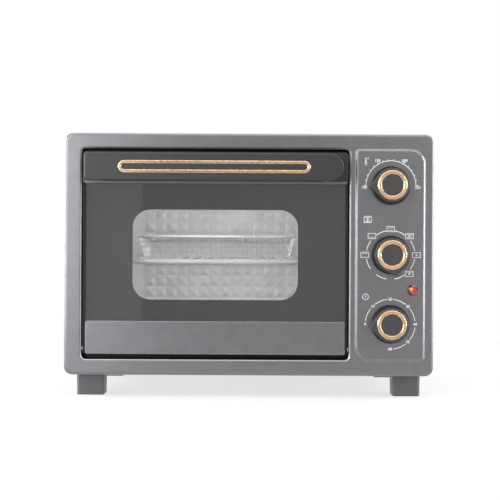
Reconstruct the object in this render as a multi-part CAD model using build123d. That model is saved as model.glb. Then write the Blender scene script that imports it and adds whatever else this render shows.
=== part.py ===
"""Countertop air fryer oven with a drop-down glass door and a column of three knobs.

Millimetres. +X is the oven's right as seen from the front, -Y points out of the
door, +Z is up. The origin is on the table, under the middle of the whole object.
"""

import math
import os

from build123d import *

# Case
body_width = 450.0
body_height = 294.6
body_depth = 330.0
corner_radius = 10.5
edge_roll = 3.6
frame_wall = 1.2
frame_skirt = 20.0
skirt_overlap = 10.0
cover_wall = 0.8
seam = 0.3
cover_lip = 46.0
cover_flange = 12.0

# Feet
foot_height = 26.7
foot_width = 34.0
foot_length = 38.0
foot_side_inset = 13.0
foot_end_inset = 24.0
foot_taper = 0.6
foot_corner = 3.0
foot_bore_share = 0.6
foot_bore_gap = 1.0

# Door recess in the front frame
recess_left = 21.5
control_width = 103.4
recess_top = 19.0
recess_bottom = 19.5
recess_radius = 5.0
recess_depth = 16.0
lip_roll = 2.6

# Raised control panel, pressed out of the front frame
panel_side_inset = 10.8
panel_left_inset = 7.6
panel_top_inset = 18.2
panel_bottom_inset = 18.3
panel_large_radius = 18.0
panel_small_radius = 4.0
panel_rise = 1.6
panel_slope = 55.0

# Cooking chamber
cavity_side_seat = 15.3
cavity_floor_seat = 18.0
cavity_roof_seat = 19.0
cavity_rear_space = 50.0
cavity_radius = 8.0
liner_wall = 0.8
liner_flange = 6.0
support_wall = 1.5
support_foot = 14.0
support_length = 40.0
support_inset = 59.0
support_rear_gap = 20.0
pyramid_pitch = 15.4
pyramid_height = 4.0
pyramid_side_gap = 38.9
pyramid_end_gap = 16.5

# Rack ledges, pressed into the chamber's side walls
ledge_floor_gap = 50.0
ledge_roof_gap = 72.0
ledge_count = 3
ledge_fan_gap = 5.0
ledge_width = 6.0
ledge_reach = 6.0
ledge_slope = 4.0
ledge_end_gap = 16.0

# Heating rods
heater_radius = 3.5
heater_top_gap = 18.0
heater_floor_gap = 21.0
heater_end_gap = 62.0
heater_overhang = 14.0
pin_radius = 1.5
pin_length = 8.0
insulator_neck = 11.0
insulator_flange = 16.0
insulator_head = 3.0
insulator_length = 9.0
insulator_clearance = 0.2

# Convection fan on the chamber's right wall
fan_radius = 47.0
fan_backplate = 1.2
fan_hub_radius = 7.0
fan_hub_reach = 3.0
fan_blades = 8
fan_blade_height = 11.0
fan_blade_wall = 1.2
fan_blade_root = 11.0
fan_blade_middle = 29.0
fan_blade_bow = 5.0
fan_blade_sweep = 3.0
fan_tip_gap = 7.0
fan_grille_edge = 6.0
fan_grille_wall = 1.0
grille_first_ring = 15.0
grille_ring_pitch = 15.5
grille_slot_spacing = 16.0
grille_slot_length = 11.0
grille_slot_width = 5.0
fan_housing_depth = 24.0
fan_housing_rim = 8.0
fan_housing_draft = 6.0
fan_housing_mouth = 5.0

# Fan motor
motor_shaft_radius = 2.5
motor_shaft_end = 3.0
motor_gap = 13.0
motor_height = 54.0
motor_stack = 18.0
motor_drop = 8.0
motor_window = 33.5
rotor_radius = 12.0
rotor_gap = 0.3
rotor_yoke = 4.0
bridge_wall = 2.0
bridge_gap = 6.0
bridge_height = 14.0
bridge_inset = 3.0
post_radius = 3.5
post_inset = 7.0
coil_wall = 5.0
coil_side_gap = 1.0
coil_gap = 0.1
coil_roll = 3.0
bracket_wall = 1.2
bracket_side_gap = 12.0
bracket_foot = 12.0
bracket_width = 22.0
bracket_bore = 6.0

# Controls
knob_x_inset = 53.0
knob_top_inset = 44.4
knob_bottom_inset = 45.4
pointer_angles = {"temperature": 183.0, "function": -75.0, "timer": 186.7}
knob_radius = 20.5
knob_point = 5.5
knob_tip_radius = 2.0
knob_base_edge = 2.9
knob_base_height = 3.0
knob_height = 20.0
knob_gap = 0.8
knob_wall = 2.4
knob_edge_roll = 1.4
knob_boss_wall = 2.5
ring_edge_gap = 2.6
ring_width = 5.0
ring_proud = 0.8
ring_depth = 1.0
ring_bevel = 0.8
ring_gap = 0.05
shaft_radius = 3.0
shaft_running_gap = 0.05
neck_radius = 4.8
neck_reach = 3.0
hole_gap = 0.25
lamp_x_inset = 26.0
lamp_rise = 41.3
lamp_radius = 6.5
lamp_bezel = 1.1
lamp_height = 2.2
lamp_bevel = 1.2
lamp_stem = 3.0

# Switches, timer and lamp holder behind the panel
neck_depth = 16.0
terminal_wall = 0.8
terminal_width = 6.0
terminal_length = 9.0
switch_depth = 24.0
switch_plate = 3.0
switch_ear = 4.0
thermostat_width = 30.0
thermostat_height = 22.0
thermostat_spacing = 16.0
selector_radius = 20.0
selector_plate_height = 20.0
selector_terminals = 6
selector_terminal_radius = 13.0
timer_plate = 54.0
timer_plate_wall = 1.5
timer_plate_corner = 4.0
timer_radius = 22.0
timer_depth = 30.0
bell_radius = 24.0
bell_gap = 4.0
bell_height = 11.0
bell_bevel = 6.0
lamp_holder_depth = 22.0
lamp_holder_wall = 1.5
lamp_socket_depth = 4.0
lamp_spacing = 6.0
lamp_terminal_width = 4.8

# Door
door_side_gap = 1.5
door_top_gap = 4.0
door_bottom_gap = 6.0
door_thickness = 12.0
hinge_floor_gap = 0.8
hinge_pin_radius = 2.5
hinge_running_gap = 0.06
hinge_head_radius = 4.0
hinge_head_height = 1.5
hinge_plate = 2.0
hinge_plate_front = 4.4
hinge_plate_back = 8.0
hinge_plate_low = 7.0
hinge_plate_high = 16.0
hinge_pin_reach = 9.0
boss_reach = 10.0
channel_wall = 1.2
channel_lip = 2.6
channel_flange = 11.0
glass_set_back = 2.0
glass_thickness = 4.0
glass_gap = 0.3
glass_corner = 3.0
glass_over_hinge = 12.0
glass_hole_gap = 0.4
trim_height = 40.6
trim_wall = 1.0
trim_depth = 10.0
trim_corner = 2.5
trim_roll = 0.9
arm_radius = 60.0
arm_width = 8.0
arm_wall = 1.5
arm_hook = 6.0
arm_hook_angle = 4.0
arm_stop_gap = 0.4
arm_foot_below = 14.0
arm_foot_above = 10.0
slot_gap = 1.2
slot_end_gap = 2.2

# Door handle
handle_height = 38.4
handle_reach = 24.0
handle_base = 4.0
handle_lower_step = 2.9
handle_upper_step = 2.6
handle_left_step = 4.1
handle_right_step = 6.4
handle_small_radius = 5.0
handle_base_corner = 4.0
handle_roll = 1.6
handle_wall = 4.0
handle_end_wall = 18.0
handle_right_wall = 24.0
handle_screw_reach = 12.0
handle_hole_reach = 14.0
grip_roof = 8.0
inlay_end_gap = 40.2
inlay_edge_gap = 8.9
inlay_width = 4.0
inlay_depth = 1.0
inlay_proud = 0.6
inlay_bevel = 0.5

# Loose pieces inside
rack_side_gap = 2.5
rack_front_gap = 16.0
rack_back_gap = 4.0
rack_frame_wire = 2.5
rack_wire = 1.5
rack_wires = 17
rack_weld = 0.5
rack_corner = 12.0
rack_wire_end = 1.5
basket_side_gap = 46.0
basket_height = 27.0
basket_draft = 7.0
basket_front_gap = 32.8
basket_back_gap = 5.2
basket_wall = 1.6
basket_wire = 2.2
basket_pitch = 27.0
basket_bands = 2
basket_rim_wire = 2.0
basket_corner = 6.0
basket_weld_gap = 0.1
tray_gap = 2.5
tray_end_gap = 9.0
tray_height = 9.0
tray_wall = 0.8
tray_back_gap = 6.0
tray_draft = 15.0
tray_foot_inset = 3.0
tray_corner = 6.0
tray_roll_radius = 2.0
tray_roll_inset = 20.0
tray_roll_back = 1.2
rest_gap = 0.3

# Fasteners and cord bush
screw_head_radius = 3.4
screw_head_height = 1.8
screw_radius = 1.6
screw_hole_gap = 0.2
cover_screw_spacing = 300.0
cover_screw_reach = 5.0
cover_screw_low = 73.4
cover_screw_high = 82.2
foot_screw_reach = 3.0
bush_radius = 7.0
bush_flange = 10.0
bush_flange_wall = 2.0
bush_bore = 3.8
bush_reach = 8.0
bush_barb = 1.2
bush_barb_length = 2.5
bush_nose_wall = 6.5
bush_height = 40.0

# Vents
vent_length = 30.0
vent_width = 3.2
vent_pitch = 9.0
vent_slots = 9
vent_column_gap = 40.0
vent_side_inset = 70.0
vent_back_gap = 37.2

# How far a cutting shape runs past the metal that it cuts
over = 1.0

# Places worked out from the sizes above
knob_reach = panel_rise + knob_gap + knob_height + ring_proud
front_reach = max(handle_reach + inlay_proud, knob_reach)
front_y = (front_reach - body_depth - bush_reach) / 2
back_y = front_y + body_depth
case_left = -body_width / 2
case_right = body_width / 2
case_bottom = foot_height
case_top = foot_height + body_height

open_left = case_left + recess_left
open_right = case_right - control_width
open_bottom = case_bottom + recess_bottom
open_top = case_top - recess_top
seat_y = front_y + recess_depth
cavity_front = seat_y + frame_wall

panel_left = open_right + panel_left_inset
panel_right = case_right - panel_side_inset
panel_bottom = case_bottom + panel_bottom_inset
panel_top = case_top - panel_top_inset
panel_y = front_y - panel_rise
control_y = panel_y + frame_wall

tuck = frame_wall + seam
cover_left = case_left + tuck
cover_right = case_right - tuck
cover_bottom = case_bottom + tuck
cover_top = case_top - tuck
cover_radius = corner_radius - tuck
cover_front = front_y + frame_skirt - skirt_overlap
cover_back = back_y - cover_wall
pan_bottom = cover_bottom + cover_wall
pan_top = pan_bottom + cover_wall

middle_x = (open_left + open_right) / 2
cavity_left = open_left + cavity_side_seat
cavity_right = open_right - cavity_side_seat
cavity_bottom = open_bottom + cavity_floor_seat
cavity_top = open_top - cavity_roof_seat
cavity_back = cover_back - cavity_rear_space
cavity_mid_y = (cavity_front + cavity_back) / 2
cavity_mid_z = (cavity_bottom + cavity_top) / 2

door_left = open_left + door_side_gap
door_right = open_right - door_side_gap
door_bottom = open_bottom + door_bottom_gap
door_top = open_top - door_top_gap
door_back = front_y + door_thickness
hinge_y = front_y + door_thickness / 2
boss_radius = door_thickness / 2 - trim_wall - glass_gap
hinge_z = door_bottom + trim_wall + hinge_floor_gap + boss_radius
glass_front = front_y + glass_set_back
glass_back = glass_front + glass_thickness
handle_bottom = door_top - handle_height
handle_base_y = glass_front - handle_base
handle_front = front_y - handle_reach
bar_left = door_left + handle_left_step
bar_right = door_right - handle_right_step
bar_bottom = handle_bottom + handle_lower_step
bar_top = door_top - handle_upper_step
handle_mid_z = (bar_bottom + bar_top) / 2

knob_x = case_right - knob_x_inset
top_knob_z = panel_top - knob_top_inset
bottom_knob_z = panel_bottom + knob_bottom_inset
knob_heights = {
    "temperature": top_knob_z,
    "function": (top_knob_z + bottom_knob_z) / 2,
    "timer": bottom_knob_z,
}
knob_tip = knob_radius + knob_point
knob_base_radius = knob_radius + knob_base_edge
ring_outer = knob_radius - ring_edge_gap
ring_inner = ring_outer - ring_width
lamp_x = case_right - lamp_x_inset
lamp_z = bottom_knob_z + lamp_rise
knob_back = panel_y - knob_gap
knob_front = knob_back - knob_height
knob_floor = knob_front + knob_wall + ring_depth

ledge_first = cavity_bottom + ledge_floor_gap
ledge_pitch = (cavity_top - ledge_roof_gap - ledge_first) / (ledge_count - 1)
ledge_drop = math.tan(math.radians(ledge_slope)) * (rack_side_gap + rack_frame_wire)
rack_z = ledge_first + ledge_pitch - ledge_drop + rest_gap
rack_back = cavity_back - pyramid_height - rack_back_gap
rack_front = cavity_front + rack_front_gap
rack_top = rack_z + 2 * rack_frame_wire + 2 * rack_wire - rack_weld
basket_left = cavity_left + basket_side_gap
basket_right = cavity_right - basket_side_gap
basket_front = rack_front + basket_front_gap
basket_back = rack_back - basket_back_gap

fan_hole_radius = fan_radius + fan_tip_gap
fan_grille_radius = fan_hole_radius + fan_grille_edge
ledge_start = cavity_front + ledge_end_gap
ledge_length = cavity_mid_y - fan_grille_radius - ledge_fan_gap - ledge_start
housing_start = cavity_right + liner_wall
housing_end = housing_start + fan_housing_depth
motor_near = housing_end + motor_gap
stack_near = motor_near + bridge_wall + bridge_gap
stack_far = stack_near + motor_stack
stack_bottom = cavity_mid_z - motor_height / 2 - motor_drop
leg_top = stack_bottom + motor_drop
fan_axis = (cavity_mid_y, cavity_mid_z)


def front_plane(y):
    """A drawing plane that faces the front, with sketch x along X and y along Z."""
    return Plane(origin=(0, y, 0), x_dir=(1, 0, 0), z_dir=(0, -1, 0))


def side_plane(x):
    """A drawing plane that faces +X, with sketch x along Y and y along Z."""
    return Plane(origin=(x, 0, 0), x_dir=(0, 1, 0), z_dir=(1, 0, 0))


def prism(face, near, far):
    """Carries an outline drawn in X and Z from depth near back to depth far."""
    return extrude(front_plane(far) * face, amount=far - near)


def block(x0, x1, y0, y1, z0, z1):
    """A box between six planes."""
    return Pos((x0 + x1) / 2, (y0 + y1) / 2, (z0 + z1) / 2) * Box(x1 - x0, y1 - y0, z1 - z0)


def rod(start, end, radius):
    """A round bar between two points."""
    axis = Vector(*end) - Vector(*start)
    return extrude(Plane(origin=start, z_dir=axis) * Circle(radius), amount=axis.length)


def wire_section(radius):
    """A wire's section, drawn with eight flats so that two of them lie level."""
    return Rot(0, 0, 22.5) * RegularPolygon(radius, 8, major_radius=False)


def wire(start, end, radius):
    """A straight wire between two points at the same height."""
    axis = Vector(*end) - Vector(*start)
    place = Plane(origin=start, x_dir=(0, 0, 1), z_dir=axis)
    return extrude(place * wire_section(radius), amount=axis.length)


def wire_loop(width, depth, radius, corner, z):
    """A wire bent round a rectangle at one height and welded shut."""
    loop = (Pos(0, 0, z) * RectangleRounded(width, depth, corner)).wire()
    start = Plane(origin=loop @ 0, x_dir=(0, 0, 1), z_dir=loop % 0)
    return sweep(start * wire_section(radius), path=loop)


def screw(seat, way, length, radius=screw_radius):
    """A plain screw, its head and shank eight-sided; seat is under the head, way is to its tip."""
    place = Plane(origin=seat, z_dir=way)
    head = extrude(place * RegularPolygon(screw_head_radius, 8), amount=-screw_head_height)
    return head + extrude(place * RegularPolygon(radius, 8), amount=length)


def outline(x0, x1, z0, z1, radius, inset=0.0):
    """A rectangle with round corners, drawn smaller by an inset all round."""
    width = x1 - x0 - 2 * inset
    height = z1 - z0 - 2 * inset
    place = Pos((x0 + x1) / 2, (z0 + z1) / 2)
    return place * RectangleRounded(width, height, max(radius - inset, 1.0))


def corner_outline(x0, x1, z0, z1, radii):
    """A rectangle whose corners each have their own radius, from lower left anticlockwise."""
    face = Pos((x0 + x1) / 2, (z0 + z1) / 2) * Rectangle(x1 - x0, z1 - z0)
    corners = [(x0, z0), (x1, z0), (x1, z1), (x0, z1)]
    for (x, z), radius in zip(corners, radii):
        corner = face.vertices().sort_by_distance((x, z, 0))[0]
        face = fillet(corner, radius)
    return face


def case_outline(inset=0.0):
    """The oven's front outline."""
    return outline(case_left, case_right, case_bottom, case_top, corner_radius, inset)


def opening_outline(inset=0.0):
    """The outline of the recess that the door closes into."""
    return outline(open_left, open_right, open_bottom, open_top, recess_radius, inset)


def cavity_outline(inset=0.0):
    """The cooking chamber's inner outline; a negative inset draws it larger."""
    return outline(cavity_left, cavity_right, cavity_bottom, cavity_top, cavity_radius, inset)


def panel_outline(inset=0.0):
    """The control panel's outline, with one large corner at the top and one at the bottom."""
    small = panel_small_radius
    large = panel_large_radius
    radii = [large, small, large, small]
    return corner_outline(
        panel_left + inset,
        panel_right - inset,
        panel_bottom + inset,
        panel_top - inset,
        [max(radius - inset, 1.0) for radius in radii],
    )


def knob_centres():
    """The middle of each knob on the panel, by name."""
    return {name: (knob_x, z) for name, z in knob_heights.items()}


def make_front_frame():
    """The pressed front: an outer skirt, the door recess with its seat, the raised panel."""
    skirt_end = front_y + frame_skirt
    shell = prism(case_outline(), front_y, skirt_end)
    shell = fillet(shell.edges().group_by(Axis.Y)[0], edge_roll)
    hollow = prism(case_outline(frame_wall), front_y + frame_wall, skirt_end + over)
    inner_cut = (edge_roll - frame_wall) * (2 - math.sqrt(2))
    hollow = chamfer(hollow.edges().group_by(Axis.Y)[0], inner_cut)
    tub = prism(opening_outline(-frame_wall), front_y + frame_wall / 2, cavity_front)
    frame = shell - hollow + tub
    frame -= prism(opening_outline(), front_y - over, seat_y)
    lip = [
        edge
        for edge in frame.edges().filter_by_position(Axis.Y, front_y - 0.01, front_y + 0.01)
        if open_left - over < edge.center().X < open_right + over
        and open_bottom - over < edge.center().Z < open_top + over
    ]
    frame = fillet(lip, lip_roll)
    frame -= prism(cavity_outline(), seat_y - over, cavity_front + over)
    frame += extrude(front_plane(front_y) * panel_outline(), amount=panel_rise, taper=panel_slope)
    pocket = panel_outline(panel_rise * math.tan(math.radians(panel_slope)) + frame_wall)
    frame -= prism(pocket, control_y, front_y + frame_wall + over)
    behind = front_y + frame_wall + over
    for x, z in knob_centres().values():
        frame -= prism(Pos(x, z) * Circle(neck_radius + hole_gap), panel_y - over, behind)
    frame -= prism(Pos(lamp_x, lamp_z) * Circle(lamp_radius - lamp_bezel), panel_y - over, behind)
    reach = math.sqrt(arm_radius**2 - (seat_y - hinge_y) ** 2)
    half = arm_width / 2 + slot_end_gap
    for x0, x1 in arm_sides():
        frame -= block(
            x0 - slot_gap,
            x1 + slot_gap,
            seat_y - over,
            cavity_front + over,
            hinge_z + reach - half,
            hinge_z + reach + half,
        )
    hole = hinge_pin_radius + hole_gap
    for x in (open_left, open_right):
        frame -= rod((x - 2 * frame_wall, hinge_y, hinge_z), (x + 2 * frame_wall, hinge_y, hinge_z), hole)
    return frame


def arm_sides():
    """The two places across the door where its stay arms stand."""
    left = door_left + channel_wall
    right = door_right - channel_wall
    return (left, left + arm_wall), (right - arm_wall, right)


def cover_outline(inset=0.0):
    """The outline of the sheet case behind the front frame."""
    return outline(cover_left, cover_right, cover_bottom, cover_top, cover_radius, inset)


def vent_column():
    """A column of punched slots, drawn about the origin."""
    return [Pos(0, z) * Rectangle(vent_length, vent_width) for z in centred_row(vent_pitch, vent_slots)]


def centred_row(pitch, count):
    """The middles of a row of like things, centred on zero."""
    return [(index - (count - 1) / 2) * pitch for index in range(count)]


def make_wrap_cover():
    """The top and both sides as one folded sheet, with lips under the base and a rear flange."""
    cover = prism(cover_outline(), cover_front, cover_back)
    cover -= prism(cover_outline(cover_wall), cover_front - over, cover_back - cover_wall)
    cover -= prism(cover_outline(cover_flange), cover_back - 2 * cover_wall, cover_back + over)
    lip_end = body_width / 2 - cover_lip
    front = cover_front - over
    back = cover_back + over
    cover -= block(-lip_end, lip_end, front, back, 0, cover_bottom + 2 * cover_wall)
    cover -= block(-lip_end, lip_end, cover_back - 2 * cover_wall, back, 0, cover_bottom + cover_flange)
    for gap in (vent_side_inset, vent_side_inset + vent_column_gap):
        for slot in vent_column():
            plate = side_plane(cover_right - cover_wall - over) * Pos(back_y - gap, cavity_mid_z) * slot
            cover -= extrude(plate, amount=cover_wall + 2 * over)
    hole = screw_radius + screw_hole_gap
    for x, z in cover_screw_places():
        if z > cover_bottom + cover_flange:
            cover -= prism(Pos(x, z) * Circle(hole), cover_back - 2 * cover_wall, back)
    for x, y in foot_places().values():
        cover -= rod((x, y, 0), (x, y, pan_top), hole)
    return cover


def cover_screw_places():
    """Where the back cover is screwed on: two along the top, two down each side, two below."""
    edge = cover_flange / 2
    half = cover_screw_spacing / 2
    places = [(x, cover_top - edge) for x in (-half, half)]
    for x in (cover_left + edge, cover_right - edge):
        places += [(x, case_bottom + cover_screw_low), (x, case_top - cover_screw_high)]
    places += [(x, pan_top + edge) for x in (-half, half)]
    return places


def bush_place():
    """Where the cord bush sits in the back cover, low behind the controls."""
    return case_right - control_width / 2, case_bottom + bush_height


def make_back_cover():
    """The flat sheet that closes the back, with vents and the hole for the cord bush."""
    cover = prism(cover_outline(), cover_back, back_y)
    for x, z in cover_screw_places():
        hole = Circle(screw_radius + screw_hole_gap)
        cover -= prism(Pos(x, z) * hole, cover_back - over, back_y + over)
    x, z = bush_place()
    cover -= prism(Pos(x, z) * Circle(bush_radius), cover_back - over, back_y + over)
    for side in (-1, 1):
        for slot in vent_column():
            place = Pos(x + side * vent_back_gap / 2, cavity_mid_z)
            cover -= prism(place * slot, cover_back - over, back_y + over)
    return cover


def make_base_pan():
    """The bottom sheet, resting on the case's lips, turned up at the front and back."""
    half = body_width / 2 - tuck - corner_radius
    profile = Polyline(
        (cover_front, pan_bottom + cover_flange),
        (cover_front, pan_bottom),
        (cover_back, pan_bottom),
        (cover_back, pan_bottom + cover_flange),
        (cover_back - cover_wall, pan_bottom + cover_flange),
        (cover_back - cover_wall, pan_top),
        (cover_front + cover_wall, pan_top),
        (cover_front + cover_wall, pan_bottom + cover_flange),
        close=True,
    )
    pan = extrude(side_plane(-half) * make_face(profile), amount=2 * half)
    lip_end = body_width / 2 - cover_lip
    notch = cover_flange + over
    for x0, x1 in ((-half - over, -lip_end + seam), (lip_end - seam, half + over)):
        pan -= block(x0, x1, cover_back - 2 * cover_wall - seam, cover_back + over, 0, pan_bottom + notch)
    hole = screw_radius + screw_hole_gap
    for x, z in cover_screw_places():
        if z < cover_bottom + 2 * cover_flange:
            pan -= prism(Pos(x, z) * Circle(hole), cover_back - 3 * cover_wall, cover_back + over)
    for x, y in foot_places().values():
        pan -= rod((x, y, 0), (x, y, pan_top + over), hole)
    return pan


def foot_places():
    """The middle of each foot."""
    x = body_width / 2 - foot_side_inset - foot_width / 2
    front = front_y + foot_end_inset + foot_length / 2
    back = back_y - foot_end_inset - foot_length / 2
    return {
        "front_left": (-x, front),
        "front_right": (x, front),
        "rear_left": (-x, back),
        "rear_right": (x, back),
    }


def foot_screw_seat():
    """The height of the ledge in each foot that its screw's head bears on."""
    return cover_bottom * foot_bore_share


def make_foot(x, y):
    """A moulded foot, narrower at the floor, with a counterbored hole for its screw."""
    face = Rectangle(foot_width, foot_length)
    top = Pos(x, y, cover_bottom) * chamfer(face.vertices(), foot_corner)
    foot = extrude(top, amount=-cover_bottom, taper=math.degrees(math.atan(foot_taper / cover_bottom)))
    foot -= rod((x, y, -over), (x, y, foot_screw_seat()), screw_head_radius + foot_bore_gap)
    return foot - rod((x, y, 0), (x, y, cover_bottom + over), screw_radius + screw_hole_gap)


def make_foot_screws():
    """The four screws that hold the feet, heads deep in the counterbores."""
    seat = foot_screw_seat()
    length = pan_top + foot_screw_reach - seat
    return Compound(children=[screw((x, y, seat), (0, 0, 1), length) for x, y in foot_places().values()])


def make_cover_screws():
    """The screws of the back cover."""
    length = cover_wall + cover_screw_reach
    return Compound(children=[screw((x, back_y, z), (0, -1, 0), length) for x, z in cover_screw_places()])


def make_cord_bush():
    """The rubber bush of the mains lead: a barb inside the sheet, a flange and a tapered nose."""
    x, z = bush_place()
    inner = cover_back - bush_barb_length
    profile = Polyline(
        (bush_bore, inner),
        (bush_radius + bush_barb, inner),
        (bush_radius + bush_barb, cover_back),
        (bush_radius, cover_back),
        (bush_radius, back_y),
        (bush_flange, back_y),
        (bush_flange, back_y + bush_flange_wall),
        (bush_nose_wall, back_y + bush_reach),
        (bush_bore, back_y + bush_reach),
        close=True,
    )
    return Pos(x, 0, z) * revolve(make_face(profile), Axis.Y)


def ledge_levels():
    """The height of each rack ledge's upper edge."""
    return [ledge_first + index * ledge_pitch for index in range(ledge_count)]


def heater_places():
    """Depth and height of each heating rod's axis, by name."""
    front = cavity_front + heater_end_gap
    rear = cavity_back - heater_end_gap
    upper = cavity_top - heater_top_gap
    lower = cavity_bottom + heater_floor_gap
    return {
        "upper_front_heater": (front, upper),
        "upper_rear_heater": (rear, upper),
        "lower_front_heater": (front, lower),
        "lower_rear_heater": (rear, lower),
    }


def make_cavity_liner():
    """The chamber's floor, roof and sides as one sleeve, flanged at both ends."""
    liner = prism(cavity_outline(-liner_wall), cavity_front, cavity_back)
    flange = cavity_outline(-liner_wall - liner_flange)
    liner += prism(flange, cavity_front, cavity_front + liner_wall)
    liner += prism(flange, cavity_back - liner_wall, cavity_back)
    liner -= prism(cavity_outline(), cavity_front - over, cavity_back + over)
    slot = Rectangle(ledge_length, ledge_width)
    for z in ledge_levels():
        for y in (ledge_start, cavity_back - ledge_end_gap - ledge_length):
            middle = (y + ledge_length / 2, z - ledge_width / 2)
            left = side_plane(cavity_left) * Pos(*middle) * slot
            liner += extrude(left, amount=ledge_reach, taper=ledge_slope)
            right = side_plane(cavity_right) * Pos(*middle) * slot
            liner += extrude(right, amount=-ledge_reach, taper=ledge_slope)
    hole = insulator_neck + 2 * insulator_clearance
    for y, z in heater_places().values():
        for x in (cavity_left, cavity_right):
            liner -= Pos(x, y, z) * Box(4 * liner_wall, hole, hole)
    return liner - rod((cavity_right - over, *fan_axis), (housing_start + over, *fan_axis), fan_hole_radius)


def ridges(height, pitch, count):
    """A row of triangular ridges along a sheet, as an outline with its flat side on the axis."""
    start = -count * pitch / 2
    points = [(start, 0)]
    for index in range(count):
        points.append((start + (index + 0.5) * pitch, height))
        points.append((start + (index + 1) * pitch, 0))
    base = -liner_wall
    points += [(-start, base), (start, base)]
    return make_face(Polyline(*points, close=True))


def make_cavity_back():
    """The chamber's back wall: a sheet with a wide field pressed into small pyramids."""
    plate = prism(cavity_outline(-liner_wall - liner_flange), cavity_back, cavity_back + liner_wall)
    columns = int((cavity_right - cavity_left - 2 * pyramid_side_gap) / pyramid_pitch)
    rows = int((cavity_top - cavity_bottom - 2 * pyramid_end_gap) / pyramid_pitch)
    half_width = columns * pyramid_pitch / 2
    half_height = rows * pyramid_pitch / 2
    low = (middle_x, cavity_back, cavity_mid_z - half_height)
    left = (middle_x - half_width, cavity_back, cavity_mid_z)
    upright = Plane(origin=low, x_dir=(-1, 0, 0), z_dir=(0, 0, 1))
    level = Plane(origin=left, x_dir=(0, 0, 1), z_dir=(1, 0, 0))
    vertical = extrude(upright * ridges(pyramid_height, pyramid_pitch, columns), amount=2 * half_height)
    lying = extrude(level * ridges(pyramid_height, pyramid_pitch, rows), amount=2 * half_width)
    return plate + (vertical & lying)


def make_cavity_supports():
    """Two folded brackets that carry the chamber on the base pan."""
    brackets = []
    top = cavity_bottom - liner_wall
    wall = support_wall
    for x in (cavity_left + support_inset, cavity_right - support_inset):
        profile = Polyline(
            (x - support_foot, pan_top),
            (x, pan_top),
            (x, top - wall),
            (x + support_foot, top - wall),
            (x + support_foot, top),
            (x - wall, top),
            (x - wall, pan_top + wall),
            (x - support_foot, pan_top + wall),
            close=True,
        )
        far = cavity_back - support_rear_gap
        brackets.append(prism(make_face(profile), far - support_length, far))
    return Compound(children=brackets)


def make_heater(y, z):
    """A sheathed heating rod with a thin terminal pin at each end."""
    left = cavity_left - heater_overhang
    right = cavity_right + heater_overhang
    heater = rod((left, y, z), (right, y, z), heater_radius)
    return heater + rod((left - pin_length, y, z), (right + pin_length, y, z), pin_radius)


def make_heater_insulators():
    """The square ceramic bushes that hold the rods in the chamber's side walls."""
    head = Pos(-insulator_head / 2, 0, 0) * Box(insulator_head, insulator_flange, insulator_flange)
    stem = Pos(insulator_length / 2, 0, 0) * Box(insulator_length, insulator_neck, insulator_neck)
    ends = (-insulator_head - over, 0, 0), (insulator_length + over, 0, 0)
    bush = head + stem - rod(*ends, heater_radius + insulator_clearance)
    bushes = []
    for y, z in heater_places().values():
        bushes.append(Pos(cavity_right, y, z) * bush)
        bushes.append(Pos(cavity_left, y, z) * mirror(bush, Plane.YZ))
    return Compound(children=bushes)


def make_fan_grille():
    """The slotted disc that covers the fan's hole in the chamber wall."""
    inner = cavity_right - fan_grille_wall
    face = Circle(fan_grille_radius)
    radius = grille_first_ring
    while radius + grille_slot_length / 2 < fan_hole_radius:
        count = round(2 * math.pi * radius / grille_slot_spacing)
        for index in range(count):
            slot = Pos(radius, 0) * Rectangle(grille_slot_length, grille_slot_width)
            face -= Rot(0, 0, 360 * index / count) * slot
        radius += grille_ring_pitch
    return extrude(side_plane(inner) * Pos(*fan_axis) * face, amount=fan_grille_wall)


def make_fan_housing():
    """The drawn dish outside the chamber wall that the fan turns in."""
    rim = fan_hole_radius + fan_housing_rim
    floor = fan_hole_radius - fan_housing_draft
    inner_end = housing_end - liner_wall
    profile = Polyline(
        (housing_start, rim),
        (housing_start, fan_hole_radius),
        (inner_end, floor),
        (inner_end, fan_housing_mouth),
        (housing_end, fan_housing_mouth),
        (housing_end, floor + liner_wall),
        (housing_start + liner_wall, fan_hole_radius + liner_wall),
        (housing_start + liner_wall, rim),
        close=True,
    )
    return Pos(0, *fan_axis) * revolve(make_face(profile), Axis.X)


def make_fan_wheel():
    """A backplate with curved blades standing on it and a hub on the shaft."""
    blade_plane = (housing_start + housing_end + fan_blade_height) / 2
    place = side_plane(blade_plane) * Pos(*fan_axis)
    wheel = extrude(place * Circle(fan_radius), amount=fan_backplate)
    root = (fan_blade_root, 0)
    arc = ThreePointArc(root, (fan_blade_middle, fan_blade_bow), (fan_radius - 1, -fan_blade_sweep))
    blade = trace(arc, fan_blade_wall)
    for index in range(fan_blades):
        turned = Rot(0, 0, 360 * index / fan_blades) * blade
        wheel += extrude(place * turned, amount=-fan_blade_height)
    wheel += extrude(place * Circle(fan_hub_radius), amount=-fan_blade_height)
    wheel += extrude(place * Circle(fan_hub_radius), amount=fan_backplate + fan_hub_reach)
    bore = Circle(motor_shaft_radius + shaft_running_gap)
    return wheel - extrude(place * bore, amount=fan_housing_depth, both=True)


def make_motor_shaft():
    """The motor's shaft with its rotor."""
    start = (housing_start + housing_end - fan_blade_height) / 2
    end = stack_far + bridge_gap + bridge_wall + motor_shaft_end
    shaft = rod((start, *fan_axis), (end, *fan_axis), motor_shaft_radius)
    return shaft + rod((stack_near, *fan_axis), (stack_far, *fan_axis), rotor_radius)


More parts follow.
